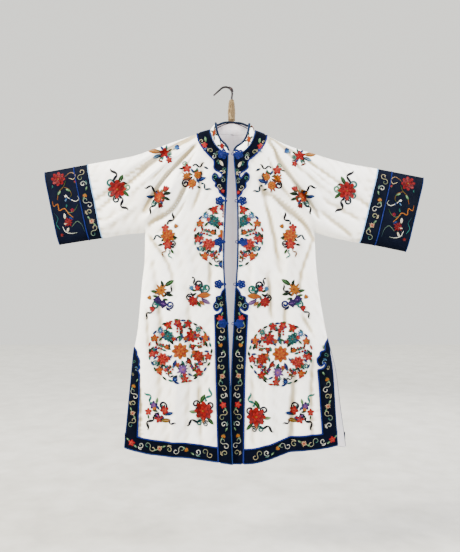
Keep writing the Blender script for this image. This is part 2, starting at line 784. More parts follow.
def creased(points: Points, halves: Sequence[Half]) -> Points:
    """How deep each point of a body or sleeve piece lies in a fold.

    Args:
        points: Places round the centre line, in millimetres.
        halves: The halves that they belong to.

    Returns:
        One number for each point, from 0 to 1.
    """
    deep = np.zeros(len(points))
    for half in halves:
        for face in Face:
            own = (points[:, 1] < 0) == (face is FRONT)
            if len(halves) > 1:
                own &= (points[:, 0] < 0) == (half.sign < 0)
            deep[own] = Cloth(half, face).valley(half.sign * points[own, 0], points[own, 2])
    return deep


@dataclass(frozen=True)
class Cut:
    """The flat size that a cloth piece is cut to: width, length and area, in metres."""

    width: float
    length: float
    share: float

    def declare(self, piece: Piece, rests_on: str) -> None:
        """Says that the piece is a hung sheet of this cut, and logs half its surface."""
        LOG.info("%s: %.4f square metres of cloth", piece.name, sum(p.area for p in piece.data.polygons) / 2)


@dataclass(frozen=True)
class Sewn:
    """A sewn piece of silk: its name, slot, cut and outside, and what it rests on."""

    name: str
    slot: Slot
    cut: Cut
    outside: str = "white_silk"
    rests_on: str = "hanger_bar"

    def build(
        self, grid: Points, wall: float, closed: bool, turned: bool, stands_for: Names,
        halves: Sequence[Half] = (),
    ) -> None:
        """Makes the piece as a thin wall behind a grid.

        Args:
            grid: The points of its outside, in millimetres round the centre line.
            wall: Its thickness in millimetres.
            closed: Whether the grid's columns run round.
            turned: Whether the outside lies on the other side of the grid's own normal.
            stands_for: The solids that it replaces.
            halves: The halves of the robe whose folds shade it.
        """
        points, faces, which = shell(grid, wall, closed, turned)
        lined = self.outside != "pale_lining"
        materials = [self.outside, "pale_lining"] if lined else ["pale_lining"]
        deep = creased(points, halves) if halves else None
        piece = as_object(self.name, placed(points), faces, materials, which if lined else None, crease=deep)
        settle(piece, stands_for)
        self.cut.declare(piece, self.rests_on)


@dataclass(frozen=True)
class Garment:
    """The silk body, sleeves and cuffs, each a thin lined wall."""

    front_cut: Cut = Cut(0.36, 1.08, 0.82)
    back_cut: Cut = Cut(0.72, 1.06, 0.84)
    sleeve_cut: Cut = Cut(0.53, 0.21, 0.78)
    cuff_cuts: tuple[Cut, Cut] = (Cut(0.50, 0.05, 0.95), Cut(0.50, 0.10, 0.95))

    def fronts(self) -> None:
        """Makes the two front panels."""
        for half in HALVES:
            piece = Sewn(f"silk_front_{half.name}", Slot.SILK, self.front_cut)
            grid = panel_grid(half, FRONT)
            piece.build(grid, WALL, False, half.sign > 0, [f"front_{half.name}"], [half])

    def back(self) -> None:
        """Makes the back panel, whole across, and its lining."""
        right, left = panel_grid(RIGHT, BACK), panel_grid(LEFT, BACK)
        grid = np.hstack([right[:, :0:-1], left])
        Sewn("silk_back", Slot.SILK, self.back_cut).build(grid, WALL, False, False, ["back"], HALVES)
        inner = (grid - grid_normals(grid, False) * (WALL + SEAM_GAP))[3:-3:2, 2:-2]
        lining = Sewn("back_lining", Slot.LINING, self.back_cut, "pale_lining")
        lining.build(inner, 0.5, False, False, ["lining_centre", "lining_slit"])

    def sleeves(self) -> None:
        """Makes the sleeves and their two dark cuff bands."""
        cuff = (CUFF_WALL, "cuff_dark_silk", Slot.CUFF)
        rows = (("silk_sleeve", "sleeve", 44, WALL, "white_silk", Slot.SILK, self.sleeve_cut),
                ("cuff_inner_band", "cuff_inner", 10, *cuff, self.cuff_cuts[0]),
                ("cuff_outer_band", "cuff_outer", 22, *cuff, self.cuff_cuts[1]))
        for half in HALVES:
            for first, (name, node, steps, wall, outside, slot, cut) in enumerate(rows):
                piece = Sewn(f"{name}_{half.name}", slot, cut, outside)
                grid = tube_grid(half, first, steps)
                piece.build(grid, wall, True, half.sign < 0, [f"{node}_{half.name}"], [half])

    def cuff_cords(self) -> None:
        """Makes the blue cords at the seams and the mouth of each cuff."""
        for half in HALVES:
            for first, row, radius, material in ((1, 0, 1.7, "pale_blue_edge"), (2, 0, 1.7, "blue_cord"),
                                                 (2, -1, 1.5, "navy_edge")):
                ring = tube_grid(half, first, 8)[row]
                name = f"cuff_cord_{half.name}_{first}{-row}"
                settle(CORDS.cord(name, [placed(ring)], radius, material, 6, None, True))

    def build(self) -> None:
        """Makes every silk piece."""
        self.fronts()
        self.back()
        self.sleeves()
        self.cuff_cords()


# Cords


class CordTree:
    """A node tree that runs a round cord along a curve and marks how far and how far round each point is."""

    def __init__(self) -> None:
        """Builds the tree once."""
        self.tree = bpy.data.node_groups.new("round_cord", "GeometryNodeTree")
        sockets = self.tree.interface
        kinds = {"Geometry": "Geometry", "Radius": "Float", "Sides": "Int", "Material": "Material"}
        for name, kind in kinds.items():
            sockets.new_socket(name, in_out="INPUT", socket_type=f"NodeSocket{kind}")
        sockets.new_socket("Geometry", in_out="OUTPUT", socket_type="NodeSocketGeometry")
        given = self.node("NodeGroupInput", {}).outputs
        size = {"Resolution": given["Sides"], "Radius": given["Radius"]}
        circle = self.node("GeometryNodeCurvePrimitiveCircle", size).outputs["Curve"]
        around = self.marked(circle, "around", "Factor")
        run = self.marked(given["Geometry"], "run", "Length")
        inputs = {"Curve": run, "Profile Curve": around, "Fill Caps": True}
        tube = self.node("GeometryNodeCurveToMesh", inputs)
        if "Scale" in tube.inputs:
            self.feed(tube, "Scale", self.node("GeometryNodeInputRadius", {}).outputs[0])
        real = self.node("GeometryNodeRealizeInstances", {0: tube.outputs[0]})
        smooth = self.node("GeometryNodeSetShadeSmooth", {0: real.outputs[0]})
        inputs = {"Geometry": smooth.outputs[0], "Material": given["Material"]}
        self.node("NodeGroupOutput", {0: self.node("GeometryNodeSetMaterial", inputs).outputs[0]})

    def feed(self, node: bpy.types.Node, key: str | int, value: Any) -> None:
        """Links an output to a node's input, or sets the input."""
        if isinstance(value, bpy.types.NodeSocket):
            self.tree.links.new(value, node.inputs[key])
        else:
            node.inputs[key].default_value = value

    def node(self, kind: str, inputs: dict[str | int, Any]) -> bpy.types.Node:
        """Adds a node of a type and feeds its inputs, by name or number."""
        node = self.tree.nodes.new(kind)
        for key, value in inputs.items():
            self.feed(node, key, value)
        return node

    def marked(self, geometry: Any, name: str, measure: str) -> Any:
        """Stores a measure of the spline on its points and returns the geometry."""
        value = self.node("GeometryNodeSplineParameter", {}).outputs[measure]
        inputs = {"Name": name, "Geometry": geometry, "Value": value}
        return self.node("GeometryNodeStoreNamedAttribute", inputs).outputs[0]

    def socket(self, name: str) -> str:
        """The identifier of a named input."""
        sockets = self.tree.interface.items_tree
        return next(s.identifier for s in sockets if s.name == name and s.in_out == "INPUT")

    def cord(
        self, name: str, paths: Sequence[Points], radius: float, material: str, sides: int = 6,
        widths: Sequence[Points] | None = None, closed: bool = False,
    ) -> Piece:
        """A mesh of cords along paths.

        Args:
            name: The piece's name.
            paths: Rows of points in metres, one array a cord.
            radius: The cord's radius in millimetres.
            material: The name of its material.
            sides: How many sides it has.
            widths: Shares of the radius along each path.
            closed: Whether the paths run round.

        Returns:
            The mesh object.
        """
        data = bpy.data.curves.new(name, "CURVE")
        data.dimensions = "3D"
        for i, path in enumerate(paths):
            spline = data.splines.new("POLY")
            spline.points.add(len(path) - 1)
            spline.points.foreach_set("co", np.hstack([path, np.ones((len(path), 1))]).ravel())
            if widths is not None:
                spline.points.foreach_set("radius", np.asarray(widths[i], float))
            spline.use_cyclic_u = closed
        holder = linked(name + "_path", data)
        modifier = holder.modifiers.new("cord", "NODES")
        modifier.node_group = self.tree
        modifier[self.socket("Radius")] = radius * MM
        modifier[self.socket("Sides")] = sides
        modifier[self.socket("Material")] = MATERIALS[material]
        evaluated = holder.evaluated_get(bpy.context.evaluated_depsgraph_get())
        mesh = bpy.data.meshes.new_from_object(evaluated)
        mesh.name = name
        bpy.data.objects.remove(holder)
        return linked(name, mesh)


CORDS = CordTree()


# Borders

NECK_CONTOUR = {
    "r": pairs(
        "111 -149, 110 -157, 104 -180, 89 -204, 73 -223, 59 -237, 57 -250, 58 -260, 51 -270, 42 -274, "
        "33 -282, 35 -291, 42 -293, 47 -284, 55 -278, 62 -286, 61 -299, 52 -309, 54 -318, 44 -327, 40 "
        "-338, 24 -353"),
    "l": pairs(
        "108 -154, 107 -161, 100 -184, 86 -205, 66 -226, 50 -239, 47 -250, 48 -260, 39 -270, 28 -276, "
        "22 -286, 26 -294, 33 -286, 42 -276, 51 -284, 50 -298, 41 -309, 42 -320, 32 -331, 28 -341, 16 "
        "-353"),
}
LOWER_CONTOUR = {
    "r": pairs(
        "24 -634, 33 -646, 38 -658, 50 -662, 51 -674, 59 -686, 57 -699, 48 -705, 40 -699, 35 -694, 32 "
        "-700, 36 -709, 46 -714, 56 -718"),
    "l": pairs(
        "13 -634, 22 -646, 27 -658, 39 -662, 40 -674, 49 -686, 47 -699, 38 -705, 30 -699, 25 -694, 22 "
        "-700, 26 -709, 36 -714, 47 -718"),
}
# Inwards from the slit's edge, and up from the slit's top
SLIT_CONTOUR = {
    "r": pairs("0 -10, 10 -20, 12 -31, 20 -42, 24 -52, 23 -63, 27 -72, 20 -80, 25 -86"),
    "l": pairs(
        "0 -4, 14 -22, 17 -38, 32 -44, 37 -56, 46 -64, 46 -80, 38 -88, 30 -84, 27 -78, 22 -84, 30 "
        "-94, 48 -99"),
}
SLIT_WIDTH = {"r": ((812, 898, 1138), (26, 27, 41)), "l": ((790, 898, 1138), (47, 49, 46))}
NECK_TIP, LOWER_TIP, LOWER_HEAD = -354.0, -634.0, -718.0
BACK_NECK = (195.0, 9.0, 112.0)


@dataclass(frozen=True)
class Outline:
    """A border's shape in the flat front view: its sewn-down side and the side at the cloth's own edge."""

    inner: Points
    outer: Points
    inner_cord: Points | None = None
    outer_cord: Points | None = None

    def around(self) -> Points:
        """The whole outline."""
        return np.vstack([self.inner, self.outer])


def line(a: float, b: float, step: float = 6.0) -> Points:
    """Evenly spaced numbers from a to b, at most a step apart."""
    return np.linspace(a, b, max(2, int(abs(b - a) / step) + 1))


def trace(out: Points, z: Points) -> Points:
    """Two rows of numbers as a path."""
    return np.stack([np.broadcast_to(out, np.shape(z)), z], -1)


@dataclass(frozen=True)
class BorderSet:
    """The dark shaped bands, cut flat and laid on the cloth with a corded edge."""

    cell: float = 5.5
    piping: float = 2.6
    edging: float = 2.1

    def neck(self, half: Half) -> Outline:
        """The band round the front neck and its cloud head."""
        inner = smoothed(NECK_CONTOUR[half.name], 4)
        up = line(NECK_TIP, -218)
        turn = np.linspace(math.asin(float(half.edge(NECK_FOOT_Z)) / NECK_HALF), math.pi / 2, 16)[1:]
        neckline = trace(NECK_HALF * np.sin(turn), half.neck_z - NECK_DROP[FRONT] * np.cos(turn))
        along = line(NECK_HALF, NECK_CONTOUR[half.name][0][0])[1:-1]
        shoulder = trace(along, half.top_line(along) - 0.5)
        return Outline(inner, np.vstack([trace(half.edge(up), up), neckline, shoulder]))

    def lower(self, half: Half) -> Outline:
        """The band down the front edge, from its cloud head to the hem."""
        head = smoothed(LOWER_CONTOUR[half.name], 4)
        z = line(LOWER_HEAD - 6, float(half.hem_z(FRONT, BAND - 6)))
        start = head[-1, 0] - float(half.edge(LOWER_HEAD))
        width = np.interp(-z, (718, 888, 1184), (start, BAND - 3, BAND - 1))
        inner = np.vstack([head, trace(half.edge(z) + width, z)])
        foot = line(inner[-1, 0], float(half.edge(HEM_EDGE_Z)))[1:-1]
        up = line(float(half.hem_z(FRONT, 0)), LOWER_TIP)
        outer = np.vstack([trace(foot, half.hem_z(FRONT, foot)), trace(half.edge(up), up)])
        return Outline(inner, outer)

    def slit(self, half: Half, face: Face) -> Outline:
        """The band beside a slit's edge, with its cloud head."""
        rows = np.array(SLIT_CONTOUR[half.name], float)
        head_z = half.slit_top + rows[:, 1]
        head = smoothed(trace(half.side_out(face, head_z) - rows[:, 0], head_z), 4)
        side = half.side_out(face, HEM_SIDE_Z)
        foot_z = float(half.hem_z(face, side - BAND)) + BAND - 0.3
        z = line(float(head[-1, 1]) - 6, foot_z)
        inner = trace(half.side_out(face, z) - np.interp(-z, *SLIT_WIDTH[half.name]), z)
        last = line(float(inner[-1, 0]), float(side))[1:]
        foot = trace(last, half.hem_z(face, last) + BAND - 0.3)
        up = line(float(foot[-1, 1]), float(head[0, 1]))[1:-1]
        edge_z = line(float(head[0, 1]), float(half.hem_z(face, side)) + 1)
        edge = trace(half.side_out(face, edge_z) - 0.4, edge_z)
        inner = np.vstack([head, inner])
        return Outline(inner, np.vstack([foot, trace(half.side_out(face, up) - 0.2, up)]), inner, edge)

    def hem(self, half: Half, face: Face) -> Outline:
        """The band along the hem."""
        start = 0.0
        if face is FRONT:
            start = float(half.edge(-1160)) + BAND
        side = float(half.side_out(face, HEM_SIDE_Z))
        out = line(start, side - 0.3)
        inner, outer = trace(out, half.hem_z(face, out) + BAND)[::-1], trace(out, half.hem_z(face, out) + 0.2)
        return Outline(inner, outer, inner[inner[:, 0] < side - SLIT_WIDTH[half.name][1][-1] + 1], outer)

    def back_neck(self) -> Points:
        """The narrow band under the back of the neck, across both halves."""
        radius, centre, reach = BACK_NECK
        x = np.linspace(-reach, reach, 41)
        low = trace(x, centre - np.sqrt(radius**2 - x**2))
        top = trace(x[::-1], np.zeros(41))
        for row in top:
            half = LEFT if row[0] > 0 else RIGHT
            out = abs(row[0])
            inside = half.neck_z - NECK_DROP[BACK] * math.sqrt(max(1 - (out / NECK_HALF) ** 2, 0))
            row[1] = inside if out < NECK_HALF else float(half.top_line(out)) - 0.5
        return np.vstack([low, top])

    def laid(
        self, name: str, outline: Points, cloth: Cloth | None, lift: float, material: str,
    ) -> Piece:
        """Cuts a flat outline and lays it on the cloth.

        Args:
            name: The piece's name.
            outline: The outline, outwards and up; on the back neck, to the viewer's right and up.
            cloth: What it lies on, or None for both halves of the back.
            lift: How far its face stands off the cloth, in millimetres.
            material: The name of its material.

        Returns:
            The piece, a thin closed solid.
        """
        low, high = outline.min(0), outline.max(0)
        xs, zs = np.meshgrid(np.arange(low[0], high[0], self.cell), np.arange(low[1], high[1], self.cell))
        filling = np.stack([xs.ravel(), zs.ravel()], -1)
        near, _ = nearest(np.vstack([outline, outline[:1]]), *filling.T)
        filling = filling[near > self.cell * 0.45]
        flat = [Vector(p) for p in np.vstack([outline, filling]).tolist()]
        cut = delaunay_2d_cdt(flat, [], [list(range(len(outline)))], 1, 1e-4)
        places = np.array([list(v) for v in cut[0]])
        faces = np.array([f for f in cut[2] if len(f) == 3])
        used, numbers = np.unique(faces, return_inverse=True)
        out, z = places[used].T
        faces = numbers.reshape(faces.shape).tolist()
        if cloth is None:
            right, left = (Cloth(half, BACK).lifted(np.abs(out), z, lift) for half in HALVES)
            face = np.where((out >= 0)[:, None], left, right)
        else:
            face = cloth.lifted(out, z, lift)
        under = face.copy()
        away = -1 if (cloth is None or cloth.face is BACK) else 1
        under[:, 1] += away * (lift - 0.1) * MM
        count = len(face)
        edges = dict.fromkeys(edge for a, b, c in faces for edge in ((a, b), (b, c), (c, a)))
        rim = [[b, a, a + count, b + count] for a, b in edges if (b, a) not in edges]
        all_faces = faces + [[c + count, b + count, a + count] for a, b, c in faces] + rim
        if cloth is None or cloth.turned:
            all_faces = [f[::-1] for f in all_faces]
        return as_object(name, np.vstack([face, under]), all_faces, [material])

    def corded(self, name: str, cloth: Cloth, rows: Sequence[tuple[Points, str, float]], lift: float) -> None:
        """Makes a cord along each line on the cloth, of its own material and radius."""
        for path, material, radius in rows:
            way = cloth.lifted(path[:, 0], path[:, 1], lift)
            settle(CORDS.cord(f"{name}_{material}", [way], radius, material))

    def border(self, name: str, node: str, outline: Outline, cloth: Cloth, cut: Cut) -> None:
        """Makes one band with its corded sides."""
        piece = self.laid(name, outline.around(), cloth, TRIM, "dark_silk")
        settle(piece, [node])
        cut.declare(piece, "silk_back" if cloth.face is BACK else f"silk_front_{cloth.half.name}")
        inner = outline.inner if outline.inner_cord is None else outline.inner_cord
        outer = outline.outer if outline.outer_cord is None else outline.outer_cord
        sides = [(inner, "blue_cord", self.piping), (outer, "navy_edge", self.edging)]
        self.corded(name, cloth, sides, TRIM - 0.2)

    def build(self) -> None:
        """Makes every border."""
        for half in HALVES:
            front, back = Cloth(half, FRONT), Cloth(half, BACK)
            for place, outline, cloth, cut in (
                ("neck_{}", self.neck(half), front, Cut(0.11, 0.21, 0.42)),
                ("front_{}", self.lower(half), front, Cut(0.06, 0.56, 0.7)),
                ("hem_{}", self.hem(half, FRONT), front, Cut(0.3, 0.05, 0.9)),
                ("slit_{}_front", self.slit(half, FRONT), front, Cut(0.05, 0.33, 0.7)),
                ("slit_{}_back", self.slit(half, BACK), back, Cut(0.05, 0.33, 0.7)),
            ):
                name, node = (f"{place.format(kind)}_{half.name}" for kind in ("band", "border"))
                self.border(name, node, outline, cloth, cut)
            self.binding(half, front)
        self.back_bands()

    def binding(self, half: Half, cloth: Cloth) -> None:
        """Makes the plain blue binding on the front edge between the bands."""
        z = line(NECK_TIP, LOWER_TIP)
        shape = np.vstack([trace(half.edge(z), z), trace(half.edge(z) + 4.5, z)[::-1]])
        settle(self.laid(f"front_binding_{half.name}", shape, cloth, 1.0, "dark_edge"),
               [f"edge_binding_{half.name}"])
        rows = [(trace(half.edge(z) + 0.8, z), "navy_edge", self.edging)]
        self.corded(f"front_binding_{half.name}", cloth, rows, 1.0)

    def back_bands(self) -> None:
        """Makes the bands of the back's neck and hem."""
        piece = self.laid("neck_band_back", self.back_neck(), None, TRIM, "dark_silk")
        settle(piece, ["neck_border_back"])
        Cut(0.24, 0.06, 0.6).declare(piece, "silk_back")
        for half in HALVES:
            self.border(f"hem_band_back_{half.name}", "hem_border_back", self.hem(half, BACK),
                        Cloth(half, BACK), Cut(0.35, 0.05, 0.9))


# Embroidery

DYES = """
    red c81018 deep 9a0f1a coral da4632 pink ee8f7c rose cc1f3e orange dc8220 ochre cf9a3c gold e2b044
    cream ece2c6 white f5f2ea tan c49c6c purple 6a3596 lilac c09ad2 navy 22306e ink 26384e blue 3268bc
    sky 93c6e2 teal 1f7686 sea 68bcb2 green 2a6c42 leaf 679a4e mint a9cfaa grey bcc4ba brick b85020 sage
    a6b8a0
""".split()
TINTS = dict(zip(DYES[::2], DYES[1::2]))
ACROSS = np.array([-1.0, -0.62, 0.0, 0.62, 1.0])
DOME = np.array([0.0, 0.78, 1.0, 0.78, 0.0])
DEPTH_OF_DYE = 2.0
BOLDNESS = 1.38  # how much larger the sprays' motifs are than in their tables
STRAND = 0.9  # width of a strand of silk, in millimetres


def tinted(name: str) -> Points:
    """A thread's deep silk colour in linear light."""
    dye = np.array(colour(TINTS[name])) ** DEPTH_OF_DYE
    return dye * (0.5 + 0.5 * dye[:3].min())


class Stitching:
    """Satin-stitched shapes, gathered flat and then laid on a surface."""

    def __init__(self, lay: Any, turned: bool, base: float) -> None:
        """Keeps where the stitches go.

        Args:
            lay: Gives places in metres from outward distances, heights and lifts.
            turned: Whether the surface looks the other way from its flat view.
            base: How far off the surface the stitches start, in millimetres.
        """
        self.lay, self.turned, self.base = lay, turned, base
        self.flat: list[Points] = []
        self.lifts: list[Points] = []
        self.tints: list[Points] = []
        self.strands: list[Points] = []
        self.faces: list[Points] = []
        self.ends: list[Points] = []
        self.count = 0
        self.order = 0

    def strip(self, spine: Points, width: Points, tints: Points, height: float, lengthwise: bool) -> None:
        """Adds one domed strip of stitches.

        Args:
            spine: Its middle line.
            width: Half its width at each point of the line.
            tints: Its colour at each point of the line.
            height: How far its middle stands up, in millimetres.
            lengthwise: Whether the stitches run along it.
        """
        ahead = np.gradient(spine, axis=0)
        ahead /= np.maximum(np.linalg.norm(ahead, axis=1, keepdims=True), 1e-9)
        side = np.stack([-ahead[:, 1], ahead[:, 0]], -1)
        n = len(spine)
        reach = np.maximum(width, 0.06)[:, None] * ACROSS
        self.flat.append((spine[:, None] + side[:, None] * reach[..., None]).reshape(-1, 2))
        low = self.base + min(self.order, 80) * 0.02
        self.lifts.append(np.tile(low + height * DOME, n) - 0.25 * np.tile(DOME == 0, n))
        shade = np.where(DOME == 0, 0.72, 1.0)[None, :, None] * tints[:, None, :]
        self.tints.append(shade.reshape(-1, 4))
        strand = reach if lengthwise else run_along(spine)[:, None] + 0.35 * reach
        self.strands.append((strand / STRAND).ravel())
        number = self.count + np.arange(n * 5).reshape(n, 5)
        a, b = number[:-1], number[1:]
        quads = [np.stack([a[:, k], b[:, k], b[:, k + 1], a[:, k + 1]], -1) for k in range(4)]
        quads.append(np.stack([a[:, 4], b[:, 4], b[:, 0], a[:, 0]], -1))
        self.faces.append(np.vstack(quads))
        self.ends.append(np.stack([number[0], number[-1, ::-1]]))
        self.count += n * 5
        self.order += 1

    def pen(
        self, out: float, z: float, turn: float = 0.0, scale: float = 1.0, mirrored: bool = False,
    ) -> "Pen":
        """A pen at a place of the flat view, at the start of a new motif."""
        self.order = 0
        return Pen(self, (out, z), math.radians(turn), scale, mirrored)

    def build(self, name: str, limit: Any = None) -> Piece:
        """Lays the stitches as one piece.

        Args:
            name: The piece's name.
            limit: Gives the lowest outward distance at each height, where the cloth ends.

        Returns:
            The piece.
        """
        flat, faces, ends = np.vstack(self.flat), np.vstack(self.faces), np.vstack(self.ends)
        if limit is not None:
            least = limit(flat[:, 1])
            beyond = flat[:, 0] < least
            flat[:, 0] = np.maximum(flat[:, 0], least)
            faces, ends = faces[~beyond[faces].all(1)], ends[~beyond[ends].all(1)]
        used = np.unique(np.concatenate([faces.ravel(), ends.ravel()]))
        faces, ends = np.searchsorted(used, faces), np.searchsorted(used, ends)
        points = self.lay(flat[used, 0], flat[used, 1], np.concatenate(self.lifts)[used])
        step = -1 if self.turned else 1
        faces = faces[:, ::step].tolist() + ends[:, ::step].tolist()
        tints, strands = np.vstack(self.tints)[used], np.concatenate(self.strands)[used]
        return as_object(name, points, faces, ["embroidery"], tint=tints, strand=strands)


@dataclass(frozen=True)
class Pen:
    """Draws stitched shapes at a place, turn, scale and side."""

    work: Stitching
    at: tuple[float, float]
    turn: float
    scale: float
    mirrored: bool

    def moved(self, x: float, z: float, turn: float = 0.0, scale: float = 1.0) -> "Pen":
        """A pen at a place of this one's own view."""
        place = self.spots(np.array([[x, z]], float))[0]
        angle = math.radians(turn) * (-1 if self.mirrored else 1)
        return Pen(self.work, tuple(place), self.turn + angle, self.scale * scale, self.mirrored)

    def spots(self, points: Points) -> Points:
        """Points of this pen's own view, in the flat view."""
        x = points[:, 0] * (-1 if self.mirrored else 1)
        c, s = math.cos(self.turn), math.sin(self.turn)
        turned = np.stack([x * c - points[:, 1] * s, x * s + points[:, 1] * c], -1)
        return np.array(self.at) + turned * self.scale

    def strip(
        self, points: Points, width: Points, tints: Names, height: float = 0.8, lengthwise: bool = True,
    ) -> None:
        """A strip in this pen's own view, whose colour changes from the first tint to the last."""
        share = np.linspace(0, len(tints) - 1, len(points))
        rows = np.array([tinted(t) for t in tints])
        low = np.minimum(share.astype(int), len(tints) - 1)
        high = np.minimum(low + 1, len(tints) - 1)
        mixed = rows[low] + (rows[high] - rows[low]) * (share - low)[:, None]
        self.work.strip(self.spots(points), np.asarray(width) * self.scale, mixed, height, lengthwise)

    def petal(
        self, angle: float, start: float, end: float, width: float, tints: Names, height: float = 0.8,
        tip: float = 0.84,
    ) -> None:
        """A rounded petal from one distance to another."""
        t = np.linspace(0, 1, 7)
        a, reach = math.radians(angle), start + (end - start) * t
        points = trace(reach * math.cos(a), reach * math.sin(a))
        self.strip(points, width * np.sin(math.pi * (0.1 + tip * t)) ** 0.62, tints, height)

    def whorl(
        self, count: int, first: float, start: float, end: float, width: float, tints: Names,
        height: float = 0.8,
    ) -> None:
        """A ring of petals."""
        for k in range(count):
            self.petal(first + 360 * k / count, start, end, width, tints, height)

    def disc(self, x: float, z: float, radius: float, tints: Names, height: float = 0.8) -> None:
        """A round spot."""
        t = np.linspace(-1, 1, 7)
        self.strip(trace(x + radius * t, np.full(7, z)), radius * np.sqrt(1 - t**2), tints, height)

    def curve(self, points: Rows, width: float, tints: Names, height: float = 0.6) -> None:
        """A line of slanting stitches that narrows at its ends."""
        spine = smoothed(points, 4)
        t = np.linspace(0, 1, len(spine))
        taper = np.sin(math.pi * np.clip(t, 0.08, 0.92)) ** 0.35
        self.strip(spine, width * taper, tints, height, False)

    def motif(self, kind: str, size: float, tints: Names, *more: float) -> None:
        """Draws one of the motifs below, which stand in units of their size."""
        getattr(self.moved(0, 0, 0, size), kind)(tints, *more)

    def peony(self, tints: Names) -> None:
        """A full flower in three rings of petals, each shaded from a darker tint to a paler one."""
        dark, middle, pale = tints
        rings = ((8, 1.0, 0.3, (dark, pale)), (7, 0.76, 0.27, (dark, middle)), (6, 0.5, 0.2, (middle, pale)))
        for ring, (count, reach, width, pair) in enumerate(rings):
            self.whorl(count, 24 * ring, 0.1, reach, width, pair, 0.7 + 0.3 * ring)
        self.disc(0, 0, 0.15, ("gold", dark), 1.7)

    def star(self, tints: Names) -> None:
        """A flower of narrow pointed petals."""
        for k in range(9):
            self.petal(40 * k + 9, 0.1, 1.0 if k % 2 else 0.8, 0.17, (tints[1], tints[0]), 0.8, 0.9)
        self.disc(0, 0, 0.24, (tints[1], tints[-1]), 1.2)

    def blossom(self, tints: Names) -> None:
        """A flower of five round petals."""
        self.whorl(5, 90, 0.15, 1, 0.36, (tints[1], tints[0], tints[0]))
        self.disc(0, 0, 0.3, (tints[-1], tints[1]), 1.2)

    def fruit(self, tints: Names) -> None:
        """A ripe fruit with its crown and seeds."""
        self.disc(0, 0, 1, (tints[0], tints[1], tints[0]), 1.0)
        for k in range(3):
            self.petal(55 + 35 * k, 0.8, 1.5, 0.2, (tints[0], tints[-1]))
        for x, z in ((-0.25, 0.1), (0.2, 0.2), (0.0, -0.3)):
            self.disc(x, z, 0.16, (tints[-1], tints[-1]), 1.3)

    def leaf(self, tints: Names) -> None:
        """A leaf in two halves with a pale vein."""
        t = np.linspace(0, 1, 7)
        swell = np.sin(math.pi * t) ** 0.8 * 0.4
        for side in (-0.5, 0.5):
            self.strip(trace(2 * t, swell * side), swell * 0.55, (tints[0], tints[1]), 0.7)
        self.curve([(0, 0), (1, 0), (1.8, 0)], 0.05, (tints[1], tints[-1]), 0.95)

    def ribbon(self, tints: Names) -> None:
        """A fluttering ribbon with a lighter fold."""
        t = np.linspace(0, 1, 22)
        wave = trace(3.0 * t, 0.5 * np.sin(2.7 * math.pi * t) * (0.7 + 0.4 * t))
        width = (0.12 + 0.15 * np.abs(np.cos(2.7 * math.pi * t))) * np.minimum(1, 7 * (1.06 - t))
        self.strip(wave, width, (tints[0],) * 2, 0.7, False)
        self.strip(wave[3:9] + 0.06, np.full(6, 0.09), (tints[1],) * 2, 0.9, False)

    def scroll(self, tints: Names, thick: float = 0.24, turns: float = 2.9) -> None:
        """A curling tendril."""
        t = np.linspace(0, 1, 19)
        radius, a = 1 - 0.8 * t, math.radians(200) + t * turns * math.pi
        coil = trace(radius * np.cos(a), radius * np.sin(a))
        tail = coil[0] + np.array([[0.9, -1.0], [0.15, -0.6]])
        spine = np.vstack([smoothed(np.vstack([tail, coil[:1]]), 3)[:-1], coil])
        self.strip(spine, thick * np.linspace(0.6, 1.15, len(spine)), (tints[0], tints[-1]), 0.6, False)

    def curl(self, tints: Names) -> None:
        """A thin open tendril."""
        self.motif("scroll", 1.2, tints, 0.12, 2.2)

    def ess(self, tints: Names) -> None:
        """Two open curls that run into each other as an S."""
        t = np.linspace(0, 1, 13)
        first = 0.5 * (0.4 + 0.6 * t)
        a, b = 1.8 * math.pi * (t - 1), math.pi * (1 - 1.8 * t)
        left = trace(first * np.cos(a) - 0.5, first * np.sin(a))
        right = trace(first[::-1] * np.cos(b) + 0.5, first[::-1] * np.sin(b))
        self.strip(np.vstack([left, right[1:]]), np.full(25, VINE_WIDTH), tints, 0.6, False)

    def bud(self, tints: Names) -> None:
        """A bud of three petals in its green cup."""
        for angle in (65, 115, 90):
            self.petal(angle, 0, 1, 0.26, (tints[1], tints[0]))
        for angle in (40, 140):
            self.petal(angle, -0.1, 0.5, 0.12, ("green", tints[-1]), 0.9)

    def coins(self, tints: Names) -> None:
        """Two joined lozenges."""
        t = np.linspace(-1, 1, 7)
        for x in (0.0, 1.25):
            for share, tint in ((1.0, tints[0]), (0.62, tints[1]), (0.26, tints[0])):
                points = trace((x + share * t) * 0.8, np.full(7, -0.3 * x))
                self.strip(points, share * 0.8 * (1 - np.abs(t)), (tint, tint), 0.9)

    def berries(self, tints: Names) -> None:
        """A small branch with round berries."""
        self.curve([(0, -1), (0.1, 0), (0, 1)], 0.09, ("leaf", "tan"))
        for x, z in ((0.45, 0.1), (-0.4, 0.35), (0.35, 0.85), (-0.3, 1.0), (-0.45, -0.25), (0.5, -0.5)):
            self.disc(x, z, 0.27, (tints[0], tints[1]))

    def draw(self, rows: Sequence[tuple[Any, ...]]) -> None:
        """Draws a table's motifs: kind, place, turn, size and tints."""
        for kind, x, z, turn, size, tints in rows:
            self.moved(x, z, turn).motif(kind, size * BOLDNESS, tints)


def motifs(text: str) -> list[tuple[Any, ...]]:
    """Reads a table of motifs.

    Args:
        text: A kind, its numbers and its tints, with semicolons between motifs.

    Returns:
        Each motif's kind, its numbers, and the list of its tints.
    """
    rows = []
    for kind, *words in (row.split() for row in text.split(";")):
        tints = [w for w in words if w.isalpha()]
        rows.append((kind, *map(float, words[: len(words) - len(tints)]), tints))
    return rows


